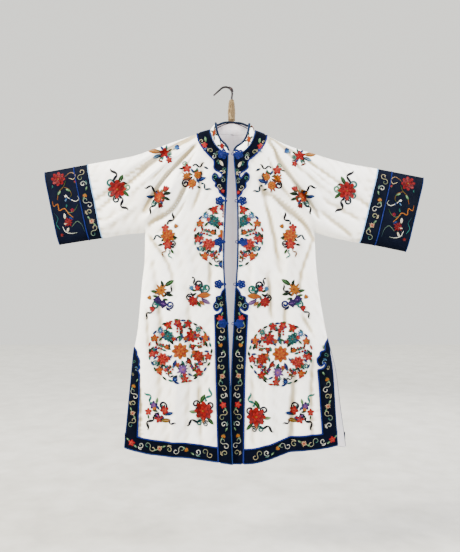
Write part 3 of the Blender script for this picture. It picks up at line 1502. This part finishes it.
# Motifs of each spray, drawn as on the viewer's left: kind, place, turn, size and tints
SPRAYS = {
    "shoulder": motifs("""
    leaf -12 3 172 14 tan gold cream; leaf -12 -4 205 9 navy sky white; ribbon 8 -2 -52 5 ink teal;
    leaf -6 -8 236 6 ink green mint; bud 27 10 -62 13 blue sky white; leaf 30 16 28 5 ink navy sky;
    blossom 15 -24 20 7 rose pink deep; leaf -18 -23 -22 6 tan brick ink; blossom 0 0 0 11 red coral deep;
    scroll 16 -6 200 5 grey sea
"""),
    "chest": motifs("""
    scroll -31 36 80 6 sea mint; ribbon -6 28 8 8 ink teal; leaf 24 27 -28 6 ink navy sky;
    leaf -34 21 180 5 ink green leaf; blossom -24 22 0 10 red pink deep; leaf -6 10 30 5 green leaf mint;
    star -24 -2 10 12 orange gold brick; fruit 7 2 -40 8 orange gold green; scroll -27 -22 190 9 ink navy;
    fruit -8 -22 150 9 orange gold brick; leaf 6 -14 20 10 navy blue sky; leaf 12 -8 62 6 ink teal sea;
    ribbon 18 -22 -42 8 teal ink; leaf 4 -30 -20 5 ink green leaf
"""),
    "underarm": motifs("""
    ribbon -6 20 158 9 ink navy; leaf -14 2 176 9 navy blue sky; leaf 12 6 12 9 ink green leaf;
    leaf 12 -2 -18 8 ink green leaf; bud 16 14 -24 14 red rose leaf; fruit 2 -2 12 13 brick orange gold;
    bud 2 -18 200 10 deep red leaf; ribbon -8 -16 232 9 ink teal; scroll -16 -20 150 6 teal sea
"""),
    "body": motifs("""
    ribbon 0 36 58 9 ink navy; bud 20 26 -30 9 ochre gold green; ribbon -14 4 190 8 teal ink;
    leaf 10 2 -16 7 ink green leaf; blossom -8 26 0 9 rose pink deep; peony 0 4 10 15 brick orange gold;
    leaf -14 -20 192 6 ink green leaf; scroll 14 -18 20 7 ink navy; blossom -1 -22 0 11 red pink deep;
    leaf 8 -34 -60 6 green leaf mint; ribbon -8 -34 -120 6 tan gold; ribbon 2 -38 -80 6 sea tan
"""),
    "sleeve": motifs("""
    ribbon -2 16 102 11 ink teal; scroll -20 17 60 10 teal sea; leaf 4 18 60 10 green leaf mint;
    leaf 14 22 -25 6 ink green leaf; scroll 29 5 -60 9 sea mint; leaf 18 -6 -42 9 green leaf mint;
    scroll -19 -15 120 8 sea teal; scroll -2 -30 190 9 teal ink; ribbon 8 -24 -66 11 ink navy;
    peony 0 0 0 20 deep red coral
"""),
    "mid_outer": motifs("""
    leaf 12 34 32 12 green leaf mint; leaf 10 30 110 8 ink green leaf; ribbon 16 8 48 8 ink navy;
    leaf -8 16 168 8 green leaf mint; leaf 14 12 -12 9 ink green leaf; star 2 22 0 16 ochre gold brick;
    coins -8 -7 -12 13 purple lilac; scroll -14 -22 150 9 teal sea; scroll 28 -20 10 9 navy blue;
    bud -28 -4 40 9 ochre gold leaf; bud -16 -28 118 12 coral red green; ribbon -24 -34 -132 8 ink teal
"""),
    "mid_inner": motifs("""
    ribbon -20 42 -60 8 ink teal; scroll -2 22 30 10 ink navy; scroll 19 11 -20 10 teal sea;
    leaf 16 8 60 4 green leaf mint; star -22 12 0 7 blue sky teal; blossom -5 11 0 6 coral pink deep;
    leaf -6 -11 4 15 orange gold tan; scroll -28 -16 170 8 ink navy; leaf -6 -26 -58 8 green leaf mint;
    leaf 0 -24 -42 8 tan gold cream; leaf 6 -20 -28 11 ink lilac grey; peony -17 -27 0 11 deep red coral
"""),
    "low_outer": motifs("""
    ribbon -24 26 116 9 sea teal; leaf -12 24 78 7 leaf mint cream; scroll 8 20 40 10 ink navy;
    blossom -20 21 0 9 purple lilac deep; blossom -35 2 0 8 coral pink deep;
    leaf -36 -6 -80 5 green leaf mint; bud -14 6 30 8 gold orange green; blossom 13 7 20 10 red pink deep;
    coins -9 -7 -30 9 navy lilac; blossom -4 -18 10 9 rose pink deep; ribbon -20 -12 -124 10 ink teal;
    leaf 2 -24 10 11 leaf gold cream; ribbon 18 -18 -30 7 navy ink; leaf 16 -6 22 9 navy blue sky
"""),
    "low_inner": motifs("""
    ribbon 10 30 68 10 sea teal; leaf -8 24 62 11 green leaf mint; scroll -20 22 60 9 ink navy;
    scroll 20 20 -40 9 ink navy; leaf -16 -2 172 9 leaf mint cream; leaf 12 -16 -48 10 green leaf mint;
    ribbon -8 -24 194 10 ink teal; scroll -10 -33 160 7 teal sea; scroll 8 -35 200 6 ink teal;
    leaf 3 -14 -98 7 tan gold cream; peony 2 2 0 20 deep red coral
"""),
}
# A generic roundel of flowers: kind, distance from its middle, turn round it, own turn, size and tints
ROUNDEL = motifs("""
    peony 0 0 0 29 brick orange gold; leaf 27 20 20 14 green leaf mint; leaf 27 95 70 15 teal sea mint;
    leaf 27 135 125 13 ink green leaf; leaf 27 170 160 14 green leaf mint;
    leaf 27 245 250 15 navy blue sky; leaf 27 280 290 13 teal sea mint; leaf 27 318 300 15 ink green leaf;
    leaf 27 62 50 12 navy blue sky; peony 57 52 10 23 deep red coral; peony 56 128 0 20 teal teal sea;
    peony 57 205 20 22 deep rose pink; star 55 278 0 21 purple lilac gold;
    peony 56 345 0 21 deep red orange; berries 62 92 5 15 red coral; berries 60 168 80 15 rose red;
    berries 60 242 140 14 orange coral; berries 62 312 220 15 red rose; berries 62 18 290 14 coral red;
    leaf 48 92 60 11 ink green leaf; leaf 50 168 150 11 teal sea mint; leaf 50 240 220 11 ink green leaf;
    leaf 50 312 280 11 navy blue sky; leaf 50 20 340 11 green leaf mint; blossom 84 74 0 14 red coral deep;
    blossom 84 95 40 14 red coral gold; blossom 84 115 20 13 coral red gold;
    star 84 135 0 13 blue sky white; blossom 85 154 0 13 orange gold brick;
    leaf 80 170 240 12 ink green leaf; blossom 84 186 0 13 red pink deep; scroll 84 206 90 10 teal sea;
    blossom 85 223 0 13 orange gold red; ribbon 80 238 -20 9 ink navy; star 84 260 0 13 navy blue sky;
    blossom 84 279 0 13 rose pink deep; leaf 84 296 30 11 green leaf mint;
    blossom 85 312 0 13 red coral gold; ribbon 80 328 60 9 teal ink; blossom 85 350 0 13 red pink deep;
    leaf 82 8 110 11 ink green leaf; blossom 85 28 0 14 orange gold red; star 84 50 0 14 teal sea gold
""")
RIM_LEAVES, RIM_BLOSSOMS, RIM_CURLS = ([tints.split() for tints in row.split(", ")] for row in (
    "ink green leaf, teal sea mint, navy blue sky, green leaf mint, red coral gold",
    "red coral gold, coral pink deep, orange gold red, rose pink deep",
    "ink teal, navy blue, teal sea",
))
# Where each spray lies on each half, outwards and up
PLACES = {
    "r": motifs("""
    shoulder 213 -211; chest 116 -286; underarm 228 -352; body 200 -476; sleeve 362 -324;
    mid_outer 225 -665; mid_inner 104 -646; low_outer 225 -1022; low_inner 92 -1019; roundel 20 -473;
    roundel 163 -830
"""),
    "l": motifs("""
    shoulder 209 -222; chest 113 -292; underarm 215 -352; body 178 -476; sleeve 358 -330;
    mid_inner 82 -649; mid_outer 194 -662; low_inner 76 -1037; low_outer 206 -1025; roundel -4 -473;
    roundel 149 -839
"""),
}
# Kind, outwards, up, turn, size and tints, the same on both cuffs
CUFF = motifs("""
    peony 548 -292 0 22 deep deep rose; leaf 549 -344 118 9 leaf mint white;
    leaf 508 -330 22 9 leaf mint white; blossom 524 -346 0 4 white white sky;
    leaf 520 -352 -60 6 blue sky white; leaf 512 -350 -120 6 navy blue sky;
    blossom 503 -390 0 6 rose purple deep; star 516 -428 20 16 red deep coral;
    leaf 526 -418 84 9 cream white grey; leaf 530 -434 168 8 cream white grey;
    leaf 514 -444 -70 8 cream white grey; leaf 498 -420 30 9 navy blue sky;
    blossom 536 -468 0 6 deep rose red; leaf 566 -322 96 5 teal sea mint;
    leaf 520 -370 -80 6 teal sea mint; bud 496 -305 20 8 rose deep leaf
""")
# The long tendrils: width, points and tints
CUFF_LINES = motifs("""
    tendril 1.3 524 -297 531 -316 545 -332 550 -358 leaf ochre;
    tendril 1.1 530 -318 514 -324 506 -342 513 -352 ochre leaf;
    tendril 1.3 528 -286 508 -271 494 -280 500 -293 514 -289 tan cream;
    tendril 1.8 566 -362 561 -378 549 -371 544 -391 528 -385 514 -401 500 -413 ochre gold;
    tendril 1.1 486 -372 494 -388 508 -398 524 -392 leaf sage;
    tendril 1.3 524 -345 508 -356 492 -362 482 -354 487 -345 white grey;
    tendril 1.3 533 -442 524 -458 506 -463 488 -460 white grey;
    tendril 1.3 504 -442 488 -425 474 -434 464 -458 sage teal;
    tendril 1.2 560 -400 548 -416 553 -434 542 -450 teal sea
""")
NECK_MOTIFS = motifs("""
    curl 96 -178 20 7 sage cream; leaf 83 -182 84 9 leaf mint white; blossom 87 -191 0 10 coral pink deep;
    leaf 80 -198 -48 8 blue sky white; curl 68 -208 140 7 cream sage; curl 58 -226 230 7 sea white;
    curl 46 -214 60 5 sage grey; bud 36 -226 60 9 gold ochre leaf; leaf 30 -256 62 10 white cream gold;
    curl 42 -246 180 6 sage sea; curl 34 -274 300 7 cream white; curl 24 -266 120 5 sage sea;
    curl 54 -290 70 7 sage sea; curl 30 -300 200 7 sage grey; curl 40 -318 10 7 cream grey;
    blossom 30 -334 0 6 rose pink deep
""")
# The same in the lower cloud head, from the front edge
HEAD_MOTIFS = motifs("""
    curl 16 -664 100 6 sage sea; curl 32 -690 190 8 sky grey; leaf 14 -695 60 8 green mint white;
    curl 14 -680 20 5 cream sage
""")
# And in a slit's head, from the middle of the band and the slit's top
SLIT_MOTIFS = motifs("""
    leaf 0 -36 96 7 green mint white; curl 4 -54 90 6 sage sea; curl -4 -78 200 8 sky grey;
    curl 6 -92 20 5 cream sage
""")
# What repeats along a border: kind, own turn, size and tints
VINE = motifs("""
    blossom 0 10.5 coral pink deep; ess 26 19 cream sage; curl 40 8.5 sea white;
    bud -70 12 gold ochre leaf; ess 26 19 white sage; curl 210 8.5 cream sage; star 0 9.5 cream coral red;
    ess 26 19 cream sea; curl 20 8.5 white grey
""")
VINE_STEP = 30.0
VINE_WIDTH = 0.85 / 19  # half the width of an S curl, as a share of its size


@dataclass(frozen=True)
class Embroidery:
    """All the stitched flowers, ribbons and vines."""

    silk_base: float = 0.25
    band_base: float = TRIM + 0.15

    def on(self, cloth: Cloth, base: float) -> Stitching:
        """Stitching for one layer of one half."""
        return Stitching(cloth.lifted, cloth.turned, base)

    def sprays(self, cloth: Cloth) -> None:
        """Stitches the sprays and roundels of one half's front or back."""
        half, front = cloth.half, cloth.face is FRONT
        work = self.on(cloth, self.silk_base)
        for kind, out, z, _ in PLACES[half.name]:
            if kind == "roundel":
                self.roundel(work, out if front or out > 50 else 0, z)
                continue
            pen = work.pen(out, z, 0, 1.08, True)
            for k in range(8):
                pen.moved(0, 0, 45 * k + 20).moved(7, 0, 14).motif("leaf", 9, RIM_LEAVES[k % 4])
            pen.draw(SPRAYS[kind])
        limit = (lambda z: half.edge(z) + 6.0) if front else (lambda z: np.zeros(np.shape(z)))
        settle(work.build(f"sprays_{cloth.label}", limit))

    def roundel(self, work: Stitching, out: float, z: float) -> None:
        """Stitches one round flower medallion."""
        pen = work.pen(out, z, 0, 1.05, True)
        for kind, reach, round_it, turn, size, tints in ROUNDEL:
            a = math.radians(round_it)
            spot = pen.moved(reach * math.cos(a), reach * math.sin(a), turn)
            spot.motif(kind, size * (0.86 if kind == "peony" else 0.94), tints)
        for k in range(30):
            spoke = pen.moved(0, 0, 12 * k)
            spoke.moved(92, -8, 80 + 14 * (k % 2)).motif("leaf", 8.5, RIM_LEAVES[k % 5])
            spoke.moved(70, 0, 47 * k).motif("leaf", 8.5, RIM_LEAVES[(k + 2) % 4])
            if k % 2:
                flower = spoke.moved(40 if k % 4 == 1 else 71, 6, 31 * k)
                flower.motif("blossom", 7.5, RIM_BLOSSOMS[(k // 2) % 4])
            else:
                curl = spoke.moved(73 if k % 4 else 38, 9, 40 * k)
                curl.motif("scroll", 5.2, RIM_CURLS[(k // 2) % 3], 0.3)
            if k % 3 == 0:
                spoke.moved(40, 0, 71 * k).motif("leaf", 8, RIM_LEAVES[(k // 3) % 4])

    def vine(self, work: Stitching, path: Points, width: float, first: int = 0) -> None:
        """Stitches flowers and curls along a border's middle line."""
        run = run_along(path)
        along = np.arange(4.0, run[-1] - 4.0, 6.0)
        middle = np.stack([np.interp(along, run, path[:, k]) for k in (0, 1)], -1)
        ahead = np.gradient(middle, axis=0)
        ahead /= np.linalg.norm(ahead, axis=1, keepdims=True)
        for i, at in enumerate(np.arange(VINE_STEP / 2, run[-1] - VINE_STEP / 3, VINE_STEP)):
            k = min(int(round((at - 4.0) / 6.0)), len(middle) - 1)
            turn = math.degrees(math.atan2(ahead[k, 1], ahead[k, 0]))
            kind, own, size, tints = VINE[(i + first) % len(VINE)]
            pen = work.pen(float(middle[k, 0]), float(middle[k, 1]), turn, min(1.0, width / 36), i % 2 == 1)
            if kind not in ("ess", "curl"):
                for side in (28, 208):
                    leaf = pen.moved(0, 0, side).moved(size * 0.7, 0)
                    leaf.motif("leaf", 7.0, ("green", "mint", "white"))
            pen.moved(0, 0, own).motif(kind, size, tints)

    def bands(self, cloth: Cloth) -> None:
        """Stitches the vines on the borders of one half's front or back."""
        half, front = cloth.half, cloth.face is FRONT
        work = self.on(cloth, self.band_base)
        side = float(half.side_out(cloth.face, HEM_SIDE_Z))
        out = line(62.0 if front else 6.0, side - 8)
        self.vine(work, trace(out, half.hem_z(cloth.face, out) + BAND / 2), BAND, 1)
        z = line(half.slit_top - 108, float(half.hem_z(cloth.face, side)) + BAND + 8)
        width = np.interp(-z, *SLIT_WIDTH[half.name])
        self.vine(work, trace(half.side_out(cloth.face, z) - width / 2, z), float(width.mean()), 3)
        for kind, x, fall, turn, size, tints in SLIT_MOTIFS:
            height = half.slit_top + fall
            place = float(half.side_out(cloth.face, height)) - 0.42 * float(width[0]) + x
            work.pen(place, height, turn, min(1.0, float(width[0]) / 40)).motif(kind, size, tints)
        if front:
            for kind, x, height, turn, size, tints in HEAD_MOTIFS:
                work.pen(float(half.edge(height)) + x, height, turn).motif(kind, size, tints)
            z = line(-712, -1168)
            self.vine(work, trace(half.edge(z) + BAND / 2, z), BAND, 0)
            pen = work.pen(0, 0)
            shift = -12.0 if half.sign > 0 else 0.0
            for kind, x, height, turn, size, tints in NECK_MOTIFS:
                spot = pen.moved(x + shift * (height < -215), height - 4 * (shift < 0), turn)
                spot.motif(kind, size, tints)
        settle(work.build(f"vines_{cloth.label}"))

    def cuffs(self, cloth: Cloth) -> None:
        """Stitches the two bands of one cuff, on its front or back."""
        half = cloth.half
        work = self.on(cloth, 0.2)
        shift, drop = (4.0, -14.0) if half.sign > 0 else (0.0, 0.0)
        for kind, out, z, turn, size, tints in CUFF:
            work.pen(out + shift, z + drop, turn).motif(kind, size, tints)
        for _, width, *way, tints in CUFF_LINES:
            work.pen(shift, drop).curve(np.reshape(way, (-1, 2)), width, tints, 0.6)
        (top_a, low_a), (top_b, low_b) = half.seams[1:3]
        top, low = (top_a + top_b) / 2, (low_a + low_b) / 2
        ends = [(top, float(half.top_line(top)) - 16), (low, float(np.interp(low, *half.underside.T)) + 14)]
        self.vine(work, smoothed(ends, 20), 36, 1)
        settle(work.build(f"cuff_flowers_{cloth.label}"))

    def build(self) -> None:
        """Stitches everything."""
        for half in HALVES:
            for face in Face:
                cloth = Cloth(half, face)
                self.sprays(cloth)
                self.bands(cloth)
                self.cuffs(cloth)


# Collar, frogs and hanger


@dataclass(frozen=True)
class StandCollar:
    """The low stand collar with its corded edge."""

    wall: float = 2.0
    heights: Triple = (32.0, 27.5, 39.5)
    leans: Triple = (0.5, 0.82, 0.2)
    end_radius: float = 22.0
    cord: float = 3.9

    def stations(self) -> tuple[Points, Points, Points]:
        """Base points, rising directions and heights along the neckline, from one front end to the other."""
        rows = []
        for half in HALVES:
            side = []
            start = math.asin(float(half.edge(NECK_FOOT_Z)) / NECK_HALF)
            front = [(FRONT, t) for t in np.linspace(start, math.pi / 2, 26)]
            back = [(BACK, t) for t in np.linspace(math.pi / 2, 0, 22)[1:]]
            for face, turn in front + back:
                end = 0 if face is FRONT else 2
                out, z = NECK_HALF * math.sin(turn), half.neck_z - NECK_DROP[face] * math.cos(turn)
                base = Cloth(half, face).flat_point(np.array(out), np.array(z))
                share = math.sin(turn) ** 2
                lean = self.leans[end] * (1 - share) + self.leans[1] * share
                outward = np.array([half.sign * math.sin(turn), face.value * math.cos(turn), 0])
                rise = np.array([0, 0, 1]) - outward * lean
                height = self.heights[end] * (1 - share) + self.heights[1] * share
                side.append((base, rise / np.linalg.norm(rise), height))
            rows += side if half is RIGHT else side[-2::-1]
        return tuple(np.array(column) for column in zip(*rows))

    def grid(self) -> Points:
        """The collar's outer face, rows from its seam to its top."""
        bases, rises, heights = self.stations()
        run = run_along(bases)
        from_end = np.minimum(run, run[-1] - run) + 1.5
        tall = heights * round_to(from_end, self.end_radius)
        shares = np.linspace(0, 1, 9)[:, None, None]
        bulge = np.sin(shares * math.pi) * 1.6
        outward = np.cross(rises, np.gradient(bases, axis=0))
        outward /= np.maximum(np.linalg.norm(outward, axis=1, keepdims=True), 1e-9)
        grid = bases + rises * (0.8 + shares * np.maximum(tall - 0.8, 1.5)[:, None])
        return grid + outward * bulge * np.sign((outward * (bases - bases.mean(0))).sum(1, keepdims=True))

    def build(self) -> None:
        """Makes the collar and its cord."""
        grid = self.grid()
        piece = Sewn("silk_collar", Slot.SILK, Cut(0.4, 0.041, 0.85), rests_on="silk_back")
        piece.build(grid, self.wall, False, True, ["stand_collar"])
        normal = -grid_normals(grid, False)
        top = grid[-1] + normal[-1] * 0.2
        foot = grid[0] + normal[0] * 0.6
        piece = CORDS.cord("collar_edge_cord", [placed(top)], self.cord, "dark_edge", 8)
        settle(piece, ["collar_piping"])
        settle(CORDS.cord("collar_seam_cord", [placed(foot)], 1.4, "blue_cord", 6))
        self.flowers(grid, normal)

    def flowers(self, grid: Points, normal: Points) -> None:
        """Stitches sprigs round the collar."""
        run = run_along(grid[0])
        columns = np.arange(grid.shape[1])

        def lay(along: Points, up: Points, lift: Points) -> Points:
            """Places on the collar, from distances along it and shares of its height."""
            column = np.clip(np.interp(along, run, columns), 0, columns[-1] - 1.001)
            row = np.clip(up / 26.0, 0.02, 0.98) * (len(grid) - 1.001)
            c, r = column.astype(int), row.astype(int)
            s, t = (column - c)[:, None], (row - r)[:, None]

            def at(rows: Points) -> Points:
                """Values between the grid's points."""
                low = rows[r, c] * (1 - s) + rows[r, c + 1] * s
                return low * (1 - t) + (rows[r + 1, c] * (1 - s) + rows[r + 1, c + 1] * s) * t

            return placed(at(grid) + at(normal) * lift[:, None])

        work = Stitching(lay, False, 0.2)
        for i, start in enumerate(np.arange(26.0, run[-1] - 20, 52.0)):
            pen = work.pen(float(start), 13.0)
            for side in (25, 205, 150, 330):
                pen.moved(0, 0, side).moved(7, 0).motif("leaf", 6.5, ("green", "leaf", "mint"))
            pen.motif("peony", 9.5, ("red", "coral", "gold") if i % 2 else ("deep", "red", "coral"))
        settle(work.build("collar_flowers"))


@dataclass(frozen=True)
class Frogs:
    """Flowers of coiled cord with a knot on one front edge and a loop on the other."""

    rows: Rows = (
        (-219, 16, 14), (-364, 20, 17), (-491, 17, 18), (-622, 20, 17), (-744, 15, 17))
    petals: int = 5
    cord: float = 1.3
    lift: float = TRIM + 1.1

    def coil(self, out: float, z: float, radius: float, turns: float, start: float) -> Points:
        """A flat spiral of cord round a place."""
        t = np.linspace(0, 1, int(22 * turns))
        r = 0.7 + (radius - 0.7) * (1 - t)
        a = start + t * turns * 2 * math.pi
        return trace(out + r * np.cos(a), z + r * np.sin(a))

    def build(self) -> None:
        """Makes the ten frogs."""
        for half in HALVES:
            cloth = Cloth(half, FRONT)
            for i, (z, right, left) in enumerate(self.rows):
                edge = float(half.edge(z))
                out = edge + (right if half is RIGHT else left)
                scale = 1.12 if i == 0 else 1.0
                flat = []
                for k in range(self.petals):
                    a = math.pi + 2 * math.pi * k / self.petals + (0 if half is RIGHT else 0.2)
                    reach = 8.5 * scale
                    at = (out + reach * math.cos(a), z + reach * math.sin(a))
                    flat.append(self.coil(*at, 6.4 * scale, 2.6, a + math.pi))
                flat.append(self.coil(out, z, 4.8 * scale, 2.0, 0))
                for shift in (-1.1, 1.1):
                    run = line(out - 5, edge - 0.5, 1.5)
                    flat.append(trace(run, np.full(len(run), z + shift)))
                paths = [cloth.lifted(p[:, 0], p[:, 1], self.lift) for p in flat]
                end = cloth.lifted(np.array([edge]), np.array([z]), self.lift + 1.5)[0]
                paths += self.knot(end) if half is RIGHT else self.loop(end)
                piece = CORDS.cord(f"corded_frog_{half.name}_{i + 1}", paths, self.cord, "blue_cord", 6)
                settle(piece, [f"frog_{half.name}_{i + 1}"])

    def knot(self, at: Points) -> list[Points]:
        """A ball knot of cord wound in three directions."""
        t = np.linspace(0, 2 * math.pi, 25)
        radius = 3.0 * MM
        rings = []
        for tilt in (0.0, math.pi / 3, 2 * math.pi / 3):
            ring = np.stack([np.cos(t) * math.cos(tilt), np.cos(t) * math.sin(tilt), np.sin(t)], -1)
            rings.append(at + ring * radius)
        flat = np.stack([np.cos(t), np.sin(t), 0 * t], -1)
        rings.append(at + flat * radius)
        return rings

    def loop(self, at: Points) -> list[Points]:
        """A small open loop of cord, lying level past the edge."""
        t = np.linspace(0, 2 * math.pi, 25)
        radius = 3.9 * MM
        ring = np.stack([np.cos(t), 0 * t, np.sin(t)], -1) * radius
        return [at + np.array([-2.5 * MM, 0, 0]) + ring]


@dataclass(frozen=True)
class Hanger:
    """The wire hook, its taped neck and the bar in the shoulders."""

    inner: float = 19.0
    wire: float = 2.3
    flare: float = 32.0
    turn: float = math.radians(132)
    neck: Triple = (-3.0, -37.0, 70.0)
    neck_radius: float = 10.4

    def hook(self) -> None:
        """Makes the hook and the worn sleeve over its top."""
        radius = self.inner + self.wire
        t = np.linspace(0, self.turn, 30)
        arc = np.stack([-HOOK_X + radius * np.cos(t), 0 * t, -self.inner + radius * np.sin(t)], -1)
        ahead = np.array([-math.sin(self.turn), 0, math.cos(self.turn)])
        tip = arc[-1] + ahead * np.linspace(0, self.flare, 8)[1:, None]
        foot = np.array([[self.neck[0], 0, self.neck[1] - 4], [self.neck[0] + 0.7, 0, self.neck[1] + 6]])
        path = np.vstack([smoothed(np.vstack([foot, arc[:3]]), 8)[:-1], arc[2:], tip])
        share = np.interp(np.arange(len(path)), [0, len(path) - 8, len(path) - 1], [1.5, 1.45, 1.05])
        wire = CORDS.cord("hook_wire", [placed(path)], self.wire, "dark_wire", 12, [share])
        settle(wire, ["hanger_hook"])
        cover = arc[3:15] + (arc[3:15] - [-HOOK_X, 0, -self.inner]) * 0.09
        swell = 0.75 + 0.5 * np.sin(np.linspace(0, math.pi, len(cover))) ** 2
        sleeve = CORDS.cord("hook_sleeve", [placed(cover)], self.wire + 2.0, "worn_sleeve", 12, [swell])
        settle(sleeve)

    def taped_neck(self) -> None:
        """Makes the neck from tape wound round it, turn on turn."""
        x, top, length = self.neck
        turns, pitch = 19, length / 19
        t = np.linspace(0, turns * 2 * math.pi, turns * 22)
        z = top - 1.5 - (length - 3) * t / t[-1]
        bulge = 1 + 0.05 * np.sin(z * 0.22) + 0.03 * np.sin(z * 0.6)
        ends = np.clip(np.minimum(top - z, z - top + length) / 5, 0.45, 1)
        radius = (self.neck_radius - pitch * 0.3) * bulge * ends**0.4
        radius = radius * np.interp(z, [top - 30, top], [1.06, 0.64])
        path = np.stack([x + radius * np.cos(t), radius * np.sin(t), z], -1)
        core = np.stack([np.full(20, x), np.zeros(20), np.linspace(top - 1, top - length + 1, 20)], -1)
        piece = CORDS.cord("taped_neck", [placed(path)], pitch * 0.56, "tan_tape", 8)
        settle(piece, ["hanger_neck"])
        swell = np.interp(core[:, 2], [top - 30, top], [1.0, 0.55])
        core_radius = self.neck_radius - pitch * 0.7
        settle(CORDS.cord("neck_core", [placed(core)], core_radius, "tan_tape", 20, [swell]))

    def bar(self) -> None:
        """Makes the bar that fills the shoulders."""
        thick = 6.0
        drop = (WALL + 2.4 * SEAM_GAP + thick) * 1.08
        peak = self.neck[1] - self.neck[2] - SEAM_GAP - thick
        outs = [72, 90, 112, 136, 160, 183, 205]
        arms = {h.name: [(h.sign * o, 0, float(h.top_line(o)) - drop) for o in outs] for h in HALVES}
        middle = [(-38, 0, peak - 9), (self.neck[0], 0, peak + 1), (38, 0, peak - 11)]
        path = smoothed(arms["r"][::-1] + middle + arms["l"], 6)
        middle = len(path) // 2
        places = [0, 4, middle - 16, middle - 10, middle + 10, middle + 16, len(path) - 5, len(path) - 1]
        share = np.interp(np.arange(len(path)), places, [0.5, 1, 1, 0.25, 0.25, 1, 1, 0.5])
        rod = CORDS.cord("shoulder_bar", [placed(path)], thick, "plum_coat", 14, [share])
        settle(rod, ["hanger_bar"])

    def build(self) -> None:
        """Makes every piece of the hanger."""
        self.hook()
        self.taped_neck()
        self.bar()


# Studio


@dataclass(frozen=True)
class Studio:
    """A pale floor, soft lights and the camera at the photograph's angle."""

    floor_z: float = -1.5
    camera: Triple = (0.0141, -1.9, -0.5966)
    lens: float = 46.9

    def floor(self) -> None:
        """Makes the floor."""
        nodes = Nodes("pale_floor")
        x, y, _ = nodes.place()
        far = (x * x + y * y).power(0.5).between(0.8, 5.0)
        share = nodes.noise(9, 4).between(0.3, 0.7) * 0.2 + far * 0.8
        base = nodes.blend(share, colour("aaa8a1"), colour("fbfaf4"))
        nodes.finish(Base_Color=base, Roughness=0.7)
        MATERIALS["pale_floor"] = nodes.material
        z = self.floor_z
        corners = np.array([[-6, -6, z], [6, -6, z], [6, 6, z], [-6, 6, z]], float)
        as_object("floor", corners, [[0, 1, 2, 3]], ["pale_floor"])

    def light(self, name: str, at: Sequence[float], size: float, watts: float, tint: str) -> None:
        """Adds a soft square light that looks at the robe's middle."""
        data = bpy.data.lights.new(name, "AREA")
        data.size = size
        data.energy = watts
        data.color = colour(tint)[:3]
        lamp = linked(name, data)
        lamp.location = at
        lamp.rotation_euler = (Vector((0, 0, -0.6)) - Vector(at)).to_track_quat("-Z", "Y").to_euler()

    def build(self) -> None:
        """Makes the studio."""
        self.floor()
        for lamp in (
            ("key", (-2.5, -1.1, 0.9), 0.9, 400, "fffaf2"), ("side", (2.4, -0.9, 0.9), 0.8, 225, "fbfaff"),
            ("fill", (0.9, -3.0, -0.4), 2.2, 36, "f8f8ff"), ("back", (0.8, 2.2, 0.5), 2.0, 50, "fffdf8"),
        ):
            self.light(*lamp)
        world = bpy.data.worlds.new("pale_room")
        world.use_nodes = True
        background = world.node_tree.nodes["Background"]
        background.inputs[0].default_value = colour("e4e3dc")
        background.inputs[1].default_value = 1.68
        bpy.context.scene.world = world
        data = bpy.data.cameras.new("camera")
        data.sensor_fit = "HORIZONTAL"
        data.sensor_width = 36
        data.lens = self.lens
        camera = linked("camera", data)
        camera.location = self.camera
        camera.rotation_euler = (math.pi / 2, 0, 0)
        bpy.context.scene.camera = camera


def main() -> None:
    """Builds the robe, its hanger and the studio."""
    logging.basicConfig(level=logging.INFO, format="%(name)s: %(message)s")
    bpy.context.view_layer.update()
    for assembly in (Garment(), BorderSet(), Embroidery(), StandCollar(), Frogs(), Hanger(), Studio()):
        LOG.info("building %s", type(assembly).__name__)
        assembly.build()


if __name__ == "__main__":
    main()
